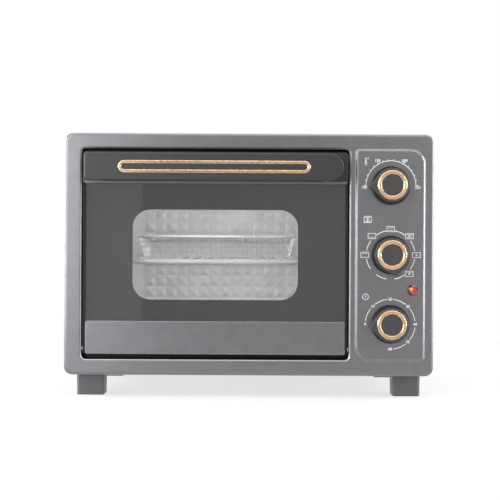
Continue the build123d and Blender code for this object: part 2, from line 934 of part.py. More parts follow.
def make_fan_motor():
    """The laminated stack and the two bearing bridges of a shaded-pole motor."""
    half = motor_height / 2
    stack = block(
        stack_near,
        stack_far,
        cavity_mid_y - half,
        cavity_mid_y + half,
        stack_bottom,
        stack_bottom + motor_height,
    )
    rotor_bore = rotor_radius + rotor_gap
    stack -= rod((stack_near - over, *fan_axis), (stack_far + over, *fan_axis), rotor_bore)
    stack -= block(
        stack_near - over,
        stack_far + over,
        cavity_mid_y - motor_window / 2,
        cavity_mid_y + motor_window / 2,
        leg_top,
        cavity_mid_z - rotor_radius - rotor_yoke,
    )
    for wall_x, post_start in ((motor_near, motor_near + bridge_wall), (stack_far + bridge_gap, stack_far)):
        bridge = block(
            wall_x,
            wall_x + bridge_wall,
            cavity_mid_y - half + bridge_inset,
            cavity_mid_y + half - bridge_inset,
            cavity_mid_z - bridge_height / 2,
            cavity_mid_z + bridge_height / 2,
        )
        for y in (cavity_mid_y - half + post_inset, cavity_mid_y + half - post_inset):
            ends = (post_start, y, cavity_mid_z), (post_start + bridge_gap, y, cavity_mid_z)
            bridge += rod(*ends, post_radius)
        ends = (wall_x - over, *fan_axis), (wall_x + bridge_wall + over, *fan_axis)
        stack += bridge - rod(*ends, motor_shaft_radius + shaft_running_gap)
    return stack


def make_motor_coil():
    """The winding on the stack's lower leg."""
    coil = block(
        stack_near - coil_wall,
        stack_far + coil_wall,
        cavity_mid_y - motor_window / 2 + coil_side_gap,
        cavity_mid_y + motor_window / 2 - coil_side_gap,
        stack_bottom - coil_wall,
        leg_top + coil_wall,
    )
    coil = fillet(coil.edges().filter_by(Axis.Y), coil_roll)
    core = block(
        stack_near - coil_gap,
        stack_far + coil_gap,
        cavity_mid_y - motor_height / 2,
        cavity_mid_y + motor_height / 2,
        stack_bottom - coil_gap,
        leg_top + coil_gap,
    )
    return coil - core


def make_motor_bracket():
    """A folded strip that carries the motor clear of the hot wall."""
    wall = bracket_wall
    side = fan_hole_radius + bracket_side_gap
    foot_end = side + bracket_foot
    profile = Polyline(
        (housing_start, -foot_end),
        (housing_start, -side),
        (motor_near - wall, -side),
        (motor_near - wall, side),
        (housing_start, side),
        (housing_start, foot_end),
        (housing_start + wall, foot_end),
        (housing_start + wall, side + wall),
        (motor_near, side + wall),
        (motor_near, -side - wall),
        (housing_start + wall, -side - wall),
        (housing_start + wall, -foot_end),
        close=True,
    )
    low = Pos(0, cavity_mid_y, cavity_mid_z - bracket_width / 2)
    strip = extrude(low * make_face(profile), amount=bracket_width)
    return strip - rod((motor_near - 2 * wall, *fan_axis), (motor_near + over, *fan_axis), bracket_bore)


def neck(x, z):
    """The bush on a switch that sticks out through the panel, and its bore."""
    front = panel_y - neck_reach
    body = rod((x, control_y, z), (x, front, z), neck_radius)
    bore = rod((x, control_y + neck_depth, z), (x, front - over, z), shaft_radius + shaft_running_gap)
    return body, bore


def level_block(x, z, width, height, near, far):
    """A box centred on a point of the panel, from depth near to depth far."""
    return block(x - width / 2, x + width / 2, near, far, z - height / 2, z + height / 2)


def make_thermostat():
    """The thermostat: a stepped block with two spade terminals."""
    x, z = knob_centres()["temperature"]
    body, bore = neck(x, z)
    back = control_y + switch_depth
    plate_width = thermostat_width + 2 * switch_ear
    body += level_block(x, z, plate_width, thermostat_height, control_y, control_y + switch_plate)
    body += level_block(x, z, thermostat_width, thermostat_height, control_y + over, back)
    for spade in (x - thermostat_spacing / 2, x + thermostat_spacing / 2):
        body += level_block(spade, z, terminal_width, terminal_wall, back - over, back + terminal_length)
    return body - bore


def make_function_switch():
    """The rotary selector: a moulded drum with a crown of spade terminals."""
    x, z = knob_centres()["function"]
    body, bore = neck(x, z)
    back = control_y + switch_depth
    plate_width = 2 * (selector_radius + switch_ear)
    body += level_block(x, z, plate_width, selector_plate_height, control_y, control_y + switch_plate)
    body += rod((x, control_y + over, z), (x, back, z), selector_radius)
    for index in range(selector_terminals):
        turn = 2 * math.pi * index / selector_terminals
        px = x + selector_terminal_radius * math.cos(turn)
        pz = z + selector_terminal_radius * math.sin(turn)
        body += level_block(px, pz, terminal_wall, terminal_width, back - over, back + terminal_length)
    return body - bore


def make_timer_unit():
    """The clockwork timer: a square plate, its works and the bell behind them."""
    x, z = knob_centres()["timer"]
    body, bore = neck(x, z)
    half = timer_plate / 2
    plate = outline(x - half, x + half, z - half, z + half, timer_plate_corner)
    works_end = control_y + timer_depth
    bell_front = works_end + bell_gap
    body += prism(plate, control_y, control_y + timer_plate_wall)
    body += rod((x, control_y + over, z), (x, works_end, z), timer_radius)
    body += rod((x, works_end - over, z), (x, bell_front + over, z), shaft_radius)
    bell = rod((x, bell_front, z), (x, bell_front + bell_height, z), bell_radius)
    bell = chamfer(bell.edges().group_by(Axis.Y)[-1], bell_bevel)
    return body + bell - bore


def make_knob(x, z, angle):
    """A hollow knob with a pointed grip on a round base, and a groove for its ring."""
    tip = knob_tip - knob_tip_radius
    circles = Circle(knob_radius).edges() + (Pos(tip, 0) * Circle(knob_tip_radius)).edges()
    grip_face = Rot(0, 0, angle) * make_hull(circles)
    grip = extrude(front_plane(knob_back) * Pos(x, z) * grip_face, amount=knob_height)
    grip = fillet(grip.edges().group_by(Axis.Y)[0], knob_edge_roll)
    knob = grip + rod((x, knob_back, z), (x, knob_back - knob_base_height, z), knob_base_radius)
    knob -= rod((x, knob_back + over, z), (x, knob_floor, z), knob_radius - knob_wall)
    boss_start = knob_back - neck_reach
    knob += rod((x, boss_start, z), (x, knob_floor - over, z), shaft_radius + knob_boss_wall)
    groove = rod((x, knob_front - over, z), (x, knob_front + ring_depth, z), ring_outer + ring_gap)
    groove -= rod((x, knob_front - over, z), (x, knob_front + ring_depth, z), ring_inner - ring_gap)
    knob -= groove
    end = knob_floor + shaft_running_gap
    return knob - rod((x, knob_back + over, z), (x, end, z), shaft_radius + shaft_running_gap)


def make_ring(x, z):
    """The plated ring in a knob's face, bevelled on both front edges."""
    low = knob_front + ring_depth
    high = knob_front - ring_proud
    profile = Polyline(
        (ring_outer, high + ring_bevel),
        (ring_outer, low),
        (ring_inner, low),
        (ring_inner, high + ring_bevel),
        (ring_inner + ring_bevel, high),
        (ring_outer - ring_bevel, high),
        close=True,
    )
    return Pos(x, 0, z) * revolve(make_face(profile), Axis.Y)


def make_shaft(x, z):
    """A knob's shaft, from inside the knob back into its switch."""
    start = knob_floor + 2 * shaft_running_gap
    return rod((x, start, z), (x, control_y + neck_depth - over, z), shaft_radius)


def make_lamp_lens():
    """The pilot lamp's domed lens and the stem that snaps into its holder."""
    stem_radius = lamp_radius - lamp_bezel - hole_gap
    stem = rod((lamp_x, panel_y, lamp_z), (lamp_x, control_y + lamp_stem, lamp_z), stem_radius)
    dome = rod((lamp_x, panel_y - lamp_height, lamp_z), (lamp_x, panel_y, lamp_z), lamp_radius)
    return stem + chamfer(dome.edges().group_by(Axis.Y)[0], lamp_bevel)


def make_lamp_holder():
    """The lamp's holder behind the panel, with two spade terminals."""
    back = control_y + lamp_holder_depth
    socket_end = (lamp_x, control_y + lamp_socket_depth, lamp_z)
    holder = rod((lamp_x, control_y, lamp_z), (lamp_x, back, lamp_z), lamp_radius + lamp_holder_wall)
    holder -= rod((lamp_x, control_y - over, lamp_z), socket_end, lamp_radius - lamp_bezel)
    for x in (lamp_x - lamp_spacing / 2, lamp_x + lamp_spacing / 2):
        spade_end = back + terminal_length
        holder += level_block(x, lamp_z, terminal_wall, lamp_terminal_width, back - over, spade_end)
    return holder


def make_hinge_pin(side):
    """The pin that the door turns on, headed behind the frame: side is -1 left, 1 right."""
    wall = open_left if side < 0 else open_right
    edge = door_left if side < 0 else door_right
    outer = wall + side * (frame_wall + hinge_plate)
    head_end = outer + side * hinge_head_height
    seat = (outer, hinge_y, hinge_z)
    pin = rod(seat, (edge - side * hinge_pin_reach, hinge_y, hinge_z), hinge_pin_radius)
    return pin + rod(seat, (head_end, hinge_y, hinge_z), hinge_head_radius)


def make_hinge_bracket(side):
    """The plate behind the recess wall that stiffens the pin's hole."""
    wall = open_left if side < 0 else open_right
    inner = wall + side * frame_wall
    x0, x1 = sorted((inner, inner + side * hinge_plate))
    front = hinge_y - hinge_plate_front
    back = hinge_y + hinge_plate_back
    plate = block(x0, x1, front, back, hinge_z - hinge_plate_low, hinge_z + hinge_plate_high)
    hole = hinge_pin_radius + hole_gap
    return plate - rod((x0 - over, hinge_y, hinge_z), (x1 + over, hinge_y, hinge_z), hole)


def make_door_side(side):
    """A door side: a folded channel with a lip over the glass and a boss on the hinge pin."""
    edge = door_left if side < 0 else door_right
    wall = -side * channel_wall
    lip = -side * channel_lip
    flange = -side * channel_flange
    step = glass_back + glass_gap
    profile = Polyline(
        (edge, front_y),
        (edge, door_back),
        (edge + wall, door_back),
        (edge + wall, step + channel_wall),
        (edge + flange, step + channel_wall),
        (edge + flange, step),
        (edge + wall, step),
        (edge + wall, front_y + channel_wall),
        (edge + lip, front_y + channel_wall),
        (edge + lip, front_y),
        close=True,
    )
    face = make_face(profile)
    low = door_bottom + trim_wall + glass_gap
    channel = extrude(Pos(0, 0, low) * face, amount=handle_bottom - seam - low)
    upper = extrude(Pos(0, 0, low) * face, amount=door_top - low)
    x0, x1 = sorted((edge + side * over, edge + 2 * flange))
    channel += upper - block(x0, x1, front_y - over, step, low - over, door_top + over)
    boss_end = edge - side * boss_reach
    channel += rod((edge, hinge_y, hinge_z), (boss_end, hinge_y, hinge_z), boss_radius)
    bore = hinge_pin_radius + hinge_running_gap
    ends = (edge + side * over, hinge_y, hinge_z), (boss_end - side * over, hinge_y, hinge_z)
    return channel - rod(*ends, bore)


def make_door_arm(side):
    """A stay arm: an arc about the hinge that slides through the frame and stops on its hook."""
    (left_0, left_1), (right_0, right_1) = arm_sides()
    x0, x1 = (left_0, left_1) if side < 0 else (right_0, right_1)
    inner = arm_radius - arm_width / 2
    outer = arm_radius + arm_width / 2
    foot_front = glass_back + glass_gap + channel_wall + seam
    start = math.degrees(math.asin((foot_front + seam - hinge_y) / inner))
    stop = 90 + math.degrees(math.asin((cavity_front - hinge_y + arm_stop_gap) / inner))
    end = stop + arm_hook_angle
    band = arc_band(inner, outer, start, end)
    band += arc_band(inner, outer + arm_hook, stop, end)
    arm = extrude(side_plane(x0) * Pos(hinge_y, hinge_z) * band, amount=x1 - x0)
    low = hinge_z + inner - arm_foot_below
    return arm + block(x0, x1, foot_front, door_back, low, hinge_z + outer + arm_foot_above)


def arc_band(inner, outer, start, end):
    """Part of a flat ring; angles run from straight up towards the back."""
    turn = [math.radians(angle) for angle in (start, (start + end) / 2, end)]
    inside = [(inner * math.sin(a), inner * math.cos(a)) for a in turn]
    outside = [(outer * math.sin(a), outer * math.cos(a)) for a in turn]
    edges = [
        ThreePointArc(*inside),
        Line(inside[2], outside[2]),
        ThreePointArc(*reversed(outside)),
        Line(outside[0], inside[0]),
    ]
    return make_face(edges)


def make_door_glass():
    """The toughened pane, behind the side lips, the trim and the handle."""
    x0 = door_left + channel_wall + glass_gap
    x1 = door_right - channel_wall - glass_gap
    z0 = hinge_z + glass_over_hinge
    pane = prism(outline(x0, x1, z0, door_top, glass_corner), glass_front, glass_back)
    hole = screw_radius + glass_hole_gap
    for x in handle_screw_places():
        pane -= rod((x, glass_front - over, handle_mid_z), (x, glass_back + over, handle_mid_z), hole)
    return pane


def handle_screw_places():
    """Where the handle is screwed on through the glass."""
    inset = channel_flange + screw_head_radius + over
    return [door_left + inset, door_right - inset]


def make_door_trim():
    """The pressed panel under the glass, turned back along its top and bottom."""
    x0 = door_left + channel_lip + glass_gap
    x1 = door_right - channel_lip - glass_gap
    z0 = door_bottom
    z1 = door_bottom + trim_height
    back = front_y + trim_depth
    left = x0 - over
    right = x1 + over
    box = prism(outline(x0, x1, z0, z1, trim_corner), front_y, back)
    box = fillet(box.edges().group_by(Axis.Y)[0], trim_roll)
    box -= block(left, right, front_y + trim_wall, back + over, z0 + trim_wall, z1 - trim_wall)
    box -= block(left, right, glass_front - glass_gap, back + over, z1 - 2 * trim_wall, z1 + over)
    return box


def bar_outline(inset=0.0):
    """The front of the handle: small corners at the left, fully round at the right."""
    round_end = (bar_top - bar_bottom) / 2 - 0.05
    small = handle_small_radius
    return corner_outline(
        bar_left + inset,
        bar_right - inset,
        bar_bottom + inset,
        bar_top - inset,
        [small, round_end, round_end, small],
    )


def make_door_handle():
    """The moulded handle: a base on the glass and a deep bar, hollow from below for the fingers."""
    base = outline(door_left, door_right, handle_bottom, door_top, handle_base_corner)
    handle = prism(base, handle_base_y, glass_front)
    bar = prism(bar_outline(), handle_front, handle_base_y + over / 2)
    handle += fillet(bar.edges().group_by(Axis.Y)[0], handle_roll)
    handle -= block(
        bar_left + handle_end_wall,
        bar_right - handle_right_wall,
        handle_front + handle_wall,
        handle_base_y,
        handle_bottom - over,
        bar_top - grip_roof,
    )
    handle -= inlay_ring(handle_front - over, handle_front + inlay_depth)
    for x in handle_screw_places():
        start = (x, glass_front + over, handle_mid_z)
        handle -= rod(start, (x, glass_front - handle_hole_reach, handle_mid_z), screw_radius)
    return handle


def inlay_ring(near, far):
    """The long stadium ring set in the handle's face."""
    length = bar_right - bar_left - 2 * inlay_end_gap
    height = bar_top - bar_bottom - 2 * inlay_edge_gap
    outer = SlotOverall(length, height)
    inner = SlotOverall(length - 2 * inlay_width, height - 2 * inlay_width)
    middle = Pos((bar_left + bar_right) / 2, handle_mid_z)
    return prism(middle * (outer - inner), near, far)


def make_handle_inlay():
    """The plated ring of the handle, bevelled on its front edges."""
    ring = inlay_ring(handle_front - inlay_proud, handle_front + inlay_depth)
    return chamfer(ring.edges().group_by(Axis.Y)[0], inlay_bevel)


def make_handle_screws():
    """The two screws that hold the handle, driven from inside the door."""
    length = glass_thickness + handle_screw_reach
    fit = screw_radius - shaft_running_gap
    seats = [(x, glass_back, handle_mid_z) for x in handle_screw_places()]
    return Compound(children=[screw(seat, (0, -1, 0), length, fit) for seat in seats])


def make_wire_rack():
    """The wire shelf: a stout frame with thinner wires from front to back welded on top."""
    z = rack_z + rack_frame_wire
    x0 = cavity_left + rack_side_gap + rack_frame_wire
    x1 = cavity_right - rack_side_gap - rack_frame_wire
    y0 = rack_front + rack_frame_wire
    y1 = rack_back - rack_frame_wire
    middle_y = (y0 + y1) / 2
    frame = wire_loop(x1 - x0, y1 - y0, rack_frame_wire, rack_corner, z)
    rack = Pos((x0 + x1) / 2, middle_y, 0) * frame
    ends = (x0 + rack_weld, middle_y, z), (x1 - rack_weld, middle_y, z)
    rack += wire(*ends, rack_frame_wire - rack_weld / 2)
    pitch = (x1 - x0) / (rack_wires + 1)
    wire_z = rack_top - rack_wire
    for offset_x in centred_row(pitch, rack_wires):
        x = (x0 + x1) / 2 + offset_x
        rack += wire((x, y0 - rack_wire_end, wire_z), (x, y1 + rack_wire_end, wire_z), rack_wire)
    return rack


def basket_mitres(width, depth):
    """Four blocks, one round each side of the basket, that meet on its corners' diagonals."""
    inner = 2 * basket_corner
    outer = 2 * (basket_draft + basket_rim_wire)
    blocks = []
    for turn, across, along in ((0, width, depth), (90, depth, width)):
        near, far = along / 2 - inner, along / 2 + outer
        short, long = across / 2 - inner, across / 2 + outer
        corners = [(-long, -far), (long, -far), (short, -near), (-short, -near)]
        shape = offset(Polygon(*corners, align=None), -basket_weld_gap / 2)
        block = extrude(shape, amount=basket_height)
        blocks += [Rot(0, 0, turn) * block, Rot(0, 0, turn + 180) * block]
    return blocks


def make_fry_basket():
    """The fry basket: four leaning mesh sides with their rim wire, mitred at the corners, and a floor."""
    base = rack_top + rest_gap
    height = basket_height - basket_rim_wire
    lean = math.degrees(math.atan(basket_draft / height))
    width = basket_right - basket_left - 2 * basket_draft - 2 * basket_rim_wire
    depth = basket_back - basket_front - 2 * basket_draft - 2 * basket_rim_wire
    foot = RectangleRounded(width, depth, basket_corner)
    sides = extrude(foot, amount=height, taper=-lean)
    sides -= extrude(offset(foot, -basket_wall), amount=height, taper=-lean)
    columns = centred_row(basket_pitch, int((width - 2 * basket_corner) / basket_pitch))
    rows = centred_row(basket_pitch, int((depth - 2 * basket_corner) / basket_pitch))
    opening = basket_pitch - basket_wire
    band = (height - basket_wall - basket_rim_wire) / basket_bands
    tall = band - basket_wire
    through = width + depth
    for index in range(basket_bands):
        z = basket_wall + band * (index + 0.5)
        sides -= [Pos(x, 0, z) * Box(opening, through, tall) for x in columns]
        sides -= [Pos(0, y, z) * Box(through, opening, tall) for y in rows]
    spread = 2 * basket_draft
    corner = basket_corner + basket_draft
    sides += wire_loop(width + spread, depth + spread, basket_rim_wire, corner, height)
    mat = offset(foot, -basket_wall - basket_weld_gap)
    mat -= [Pos(x, y) * Rectangle(opening, opening) for x in columns for y in rows]
    place = Pos(middle_x, (basket_front + basket_back) / 2, base)
    welded = [sides & block for block in basket_mitres(width, depth)]
    welded.append(extrude(mat, amount=basket_wall))
    return Compound(children=[place * solid for solid in welded])


def make_crumb_tray():
    """The shallow tray on the chamber floor, with a rolled front edge to pull."""
    x0 = cavity_left + cavity_radius / 2 + tray_gap
    x1 = cavity_right - cavity_radius / 2 - tray_gap
    y0 = cavity_front + tray_end_gap
    y1 = cavity_back - pyramid_height - tray_back_gap
    z0 = cavity_bottom + rest_gap
    width = x1 - x0 - 2 * tray_foot_inset
    depth = y1 - y0 - 2 * tray_foot_inset
    body = Pos((x0 + x1) / 2, (y0 + y1) / 2, z0) * RectangleRounded(width, depth, tray_corner)
    tray = extrude(body, amount=tray_height, taper=-tray_draft)
    inner = Pos(0, 0, tray_wall) * offset(body, -tray_wall)
    tray -= extrude(inner, amount=tray_height, taper=-tray_draft)
    y = y0 + tray_roll_back
    z = z0 + tray_height - tray_roll_radius
    return tray + rod((x0 + tray_roll_inset, y, z), (x1 - tray_roll_inset, y, z), tray_roll_radius)


pieces = {
    "front_frame": make_front_frame(),
    "wrap_cover": make_wrap_cover(),
    "back_cover": make_back_cover(),
    "base_pan": make_base_pan(),
    "cavity_liner": make_cavity_liner(),
    "cavity_back": make_cavity_back(),
    "cavity_supports": make_cavity_supports(),
    "heater_insulators": make_heater_insulators(),
    "fan_grille": make_fan_grille(),
    "fan_housing": make_fan_housing(),
    "fan_wheel": make_fan_wheel(),
    "motor_shaft": make_motor_shaft(),
    "fan_motor": make_fan_motor(),
    "motor_coil": make_motor_coil(),
    "motor_bracket": make_motor_bracket(),
    "thermostat": make_thermostat(),
    "function_switch": make_function_switch(),
    "timer_unit": make_timer_unit(),
    "lamp_lens": make_lamp_lens(),
    "lamp_holder": make_lamp_holder(),
    "cord_bush": make_cord_bush(),
    "foot_screws": make_foot_screws(),
    "cover_screws": make_cover_screws(),
    "door_glass": make_door_glass(),
    "door_trim": make_door_trim(),
    "door_handle": make_door_handle(),
    "handle_inlay": make_handle_inlay(),
    "handle_screws": make_handle_screws(),
    "wire_rack": make_wire_rack(),
    "fry_basket": make_fry_basket(),
    "crumb_tray": make_crumb_tray(),
}
for name, place in foot_places().items():
    pieces[f"foot_{name}"] = make_foot(*place)
for name, place in heater_places().items():
    pieces[name] = make_heater(*place)
for name, place in knob_centres().items():
    pieces[f"{name}_knob"] = make_knob(*place, pointer_angles[name])
    pieces[f"{name}_ring"] = make_ring(*place)
    pieces[f"{name}_shaft"] = make_shaft(*place)
for name, side in (("left", -1), ("right", 1)):
    pieces[f"hinge_pin_{name}"] = make_hinge_pin(side)
    pieces[f"hinge_bracket_{name}"] = make_hinge_bracket(side)
    pieces[f"door_side_{name}"] = make_door_side(side)
    pieces[f"door_arm_{name}"] = make_door_arm(side)

os.makedirs("parts", exist_ok=True)
for name, shape in pieces.items():
    export_step(shape, f"parts/{name}.step")
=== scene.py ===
"""The finish of a countertop air fryer oven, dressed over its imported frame. Metres throughout."""

import math

import bmesh
import bpy
import numpy as np
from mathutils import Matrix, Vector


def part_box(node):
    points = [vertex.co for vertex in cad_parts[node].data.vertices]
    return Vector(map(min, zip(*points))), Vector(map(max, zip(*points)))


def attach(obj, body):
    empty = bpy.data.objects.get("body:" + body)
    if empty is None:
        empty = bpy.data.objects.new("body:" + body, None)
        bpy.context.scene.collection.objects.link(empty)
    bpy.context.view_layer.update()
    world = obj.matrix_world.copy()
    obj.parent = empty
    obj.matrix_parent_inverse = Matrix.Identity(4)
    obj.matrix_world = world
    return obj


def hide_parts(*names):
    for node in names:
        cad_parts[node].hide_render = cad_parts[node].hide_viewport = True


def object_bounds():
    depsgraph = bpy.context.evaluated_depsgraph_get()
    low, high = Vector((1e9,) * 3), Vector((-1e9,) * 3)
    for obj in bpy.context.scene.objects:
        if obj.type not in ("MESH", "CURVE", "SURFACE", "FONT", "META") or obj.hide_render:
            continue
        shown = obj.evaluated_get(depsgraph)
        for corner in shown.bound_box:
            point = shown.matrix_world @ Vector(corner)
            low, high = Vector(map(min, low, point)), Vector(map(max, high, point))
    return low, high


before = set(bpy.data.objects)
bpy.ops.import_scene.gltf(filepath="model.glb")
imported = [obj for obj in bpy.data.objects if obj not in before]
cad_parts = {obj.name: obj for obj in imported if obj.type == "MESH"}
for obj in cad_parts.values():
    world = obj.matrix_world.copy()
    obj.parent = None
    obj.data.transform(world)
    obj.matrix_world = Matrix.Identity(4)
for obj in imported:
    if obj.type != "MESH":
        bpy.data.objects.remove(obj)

cad_low, cad_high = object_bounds()
mm = 0.001


# The pressed front, the folded cover and the back and base sheets.
# They are deep-drawn and folded steel in a fine metallic grey lacquer. The cover slides into the
# front's skirt, and screws close the back. Brackets behind them are bare zinc-coated sheet.


def node(tree, kind, **values):
    """Adds a shader node; a value that names no property of the node sets the input of that name."""
    made = tree.nodes.new("ShaderNode" + kind)
    for name, value in values.items():
        if name in made.bl_rna.properties:
            setattr(made, name, value)
        else:
            made.inputs[name.replace("_", " ").title()].default_value = value
    return made


def computed(tree, kind, first, second):
    """The result of a math node on a socket and a number or another socket."""
    made = node(tree, "Math", operation=kind)
    tree.links.new(first, made.inputs[0])
    if isinstance(second, float):
        made.inputs[1].default_value = second
    else:
        tree.links.new(second, made.inputs[1])
    return made.outputs[0]


def ramp(tree, value, start, end, low=0.0, high=1.0):
    """A value stretched from start and end to low and high, and held there beyond them."""
    made = node(tree, "MapRange", from_min=start, from_max=end, to_min=low, to_max=high)
    tree.links.new(value, made.inputs["Value"])
    return made.outputs[0]


def new_group(name, inputs, outputs):
    """An empty node group with float or colour sockets, and its input and output nodes."""
    group = bpy.data.node_groups.new(name, "ShaderNodeTree")
    for way, sockets in (("INPUT", inputs), ("OUTPUT", outputs)):
        for socket, kind in sockets.items():
            group.interface.new_socket(socket, in_out=way, socket_type="NodeSocket" + kind)
    return group, group.nodes.new("NodeGroupInput"), group.nodes.new("NodeGroupOutput")


def blend_colours(tree, mask, low, high):
    """A colour that goes from low at mask 0 to high at mask 1; each may be a socket."""
    mix = node(tree, "Mix", data_type="RGBA")
    tree.links.new(mask, mix.inputs["Factor"])
    for place, colour in (("A", low), ("B", high)):
        socket = next(s for s in mix.inputs if s.name == place and s.type == "RGBA")
        if isinstance(colour, bpy.types.NodeSocket):
            tree.links.new(colour, socket)
        else:
            socket.default_value = (*colour, 1)
    return next(s for s in mix.outputs if s.type == "RGBA")


def object_place(tree):
    """The point being shaded, in the object's own coordinates."""
    return node(tree, "TexCoord").outputs["Object"]


def object_axes(tree):
    """The same point as the outputs X, Y and Z."""
    split = node(tree, "SeparateXYZ")
    tree.links.new(object_place(tree), split.inputs[0])
    return split.outputs


finish_inputs = {"Dark": "Color", "Light": "Color", "Scale": "Float", "Smooth": "Float", "Rough": "Float"}
finish_outputs = {"Colour": "Color", "Roughness": "Float", "Height": "Float"}


def put_out_finish(group, given, made, value, start, end, height):
    """Spreads a value from start to end into the mask that blends both colours and both roughnesses."""
    link = group.links.new
    mask = ramp(group, value, start, end)
    link(blend_colours(group, mask, given.outputs["Dark"], given.outputs["Light"]), made.inputs["Colour"])
    gloss = node(group, "MapRange")
    link(mask, gloss.inputs["Value"])
    link(given.outputs["Smooth"], gloss.inputs["To Min"])
    link(given.outputs["Rough"], gloss.inputs["To Max"])
    link(gloss.outputs[0], made.inputs["Roughness"])
    link(height, made.inputs["Height"])


def make_grain_group():
    """Fine grain over broad soft patches.

    Grain is noise at Scale and patches noise at a fortieth of it. The mask is their mean,
    weighted by Patches, and grain alone is the height.
    """
    group, given, made = new_group("grain", {**finish_inputs, "Patches": "Float"}, finish_outputs)
    link = group.links.new
    place = object_place(group)
    fine = node(group, "TexNoise", detail=3.0, roughness=0.6)
    broad = node(group, "TexNoise", detail=2.0)
    link(given.outputs["Scale"], fine.inputs["Scale"])
    link(computed(group, "DIVIDE", given.outputs["Scale"], 40.0), broad.inputs["Scale"])
    for texture in (fine, broad):
        link(place, texture.inputs["Vector"])
    mean = node(group, "Mix", data_type="FLOAT")
    link(given.outputs["Patches"], mean.inputs["Factor"])
    link(fine.outputs["Fac"], mean.inputs[2])
    link(broad.outputs["Fac"], mean.inputs[3])
    put_out_finish(group, given, made, mean.outputs[0], 0.32, 0.68, fine.outputs["Fac"])
    return group


def make_edge_group():
    """The rounding of pressed and moulded edges: its normal, and a mask of the edges, where some finishes
    wear and others take a painted highlight.

    The mask is how far the rounded normal leans from the true one, broken by noise.
    """
    sockets = {"Mask": "Float", "Normal": "Vector"}
    group, given, made = new_group("edges", {"Radius": "Float", "Noise": "Float"}, sockets)
    link = group.links.new
    soft = node(group, "Bevel", samples=6)
    link(given.outputs["Radius"], soft.inputs["Radius"])
    lean = node(group, "VectorMath", operation="DOT_PRODUCT")
    link(soft.outputs["Normal"], lean.inputs[0])
    link(node(group, "NewGeometry").outputs["Normal"], lean.inputs[1])
    sharp = ramp(group, lean.outputs["Value"], 0.998, 0.9)
    broken = node(group, "TexNoise", detail=4.0)
    link(object_place(group), broken.inputs["Vector"])
    link(given.outputs["Noise"], broken.inputs["Scale"])
    patchy = ramp(group, broken.outputs["Fac"], 0.35, 0.6)
    link(computed(group, "MULTIPLY", sharp, patchy), made.inputs["Mask"])
    link(soft.outputs["Normal"], made.inputs["Normal"])
    return group


grain_group = make_grain_group()
edge_group = make_edge_group()


def use_group(tree, group, **values):
    """Places a node group and sets its inputs; a colour is three numbers."""
    placed = tree.nodes.new("ShaderNodeGroup")
    placed.node_tree = group
    for name, value in values.items():
        placed.inputs[name.title()].default_value = (*value, 1) if isinstance(value, tuple) else value
    return placed


def new_material(name, **plain):
    """A material with its node tree, link function and shader; plain sets inputs of the shader."""
    material = bpy.data.materials.new(name)
    material.use_nodes = True
    tree = material.node_tree
    shader = tree.nodes["Principled BSDF"]
    for key, value in plain.items():
        shader.inputs[key.replace("_", " ").title().replace("Ior", "IOR")].default_value = value
    return material, tree, tree.links.new, shader


def paint_over(material, mask, colour):
    """Paints a colour over a material's own, as far as the mask says."""
    tree = material.node_tree
    base = tree.nodes["Principled BSDF"].inputs["Base Color"]
    tree.links.new(blend_colours(tree, mask, base.links[0].from_socket, colour), base)


def grained(name, dark, light, smooth, rough, scale, patches=0.3, bump=0.1, edge_wear_and_highlight=None, soft=0.5, **plain):
    """A finish whose colour and gloss vary with the grain, going to another colour at its edges.

    dark, light and the edge colour are linear colours, scale is in grains a metre, and bump is the
    depth of the grain in tenths of a millimetre. The edge colour is wear on some finishes and a
    painted highlight on others; where it is given, edges are rounded over soft, in millimetres.
    What is given by name sets a plain input of the shader.
    """
    material, tree, link, shader = new_material(name, **plain)
    grain = use_group(
        tree, grain_group, dark=dark, light=light, scale=scale, patches=patches, smooth=smooth, rough=rough
    )
    colour = grain.outputs["Colour"]
    relief = node(tree, "Bump", strength=0.5, distance=bump * 0.1 * mm)
    # The edge colour over the rounded edges: wear on some finishes, a painted highlight on the lacquer, the
    # knobs, the handle and the gold plating.
    if edge_wear_and_highlight:
        edges = use_group(tree, edge_group, radius=soft * mm, noise=260.0)
        colour = blend_colours(tree, edges.outputs["Mask"], colour, edge_wear_and_highlight)
        link(edges.outputs["Normal"], relief.inputs["Normal"])
    link(colour, shader.inputs["Base Color"])
    link(grain.outputs["Roughness"], shader.inputs["Roughness"])
    link(grain.outputs["Height"], relief.inputs["Height"])
    link(relief.outputs["Normal"], shader.inputs["Normal"])
    return material


def dress(finish, *names):
    """Gives CAD nodes their finish."""
    for name in names:
        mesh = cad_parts[name].data
        mesh.materials.clear()
        mesh.materials.append(finish)


def make_lacquer(name):
    """The oven's metallic grey lacquer, baked over a primer; it rounds pressed edges and paints a highlight
    along them.
    """
    return grained(
        name,
        dark=(0.158, 0.157, 0.167),
        light=(0.203, 0.202, 0.213),
        smooth=0.26,
        rough=0.36,
        scale=2600.0,
        patches=0.2,
        bump=0.12,
        # A painted highlight along the rounded edges.
        edge_wear_and_highlight=(0.44, 0.44, 0.45),
        soft=1.7,
        metallic=0.8,
        coat_weight=0.6,
        coat_roughness=0.14,
    )


door_side_gap, door_low_gap, door_top_gap = 1.5 * mm, 6.0 * mm, 4.0 * mm
opening_corner = 5.0 * mm


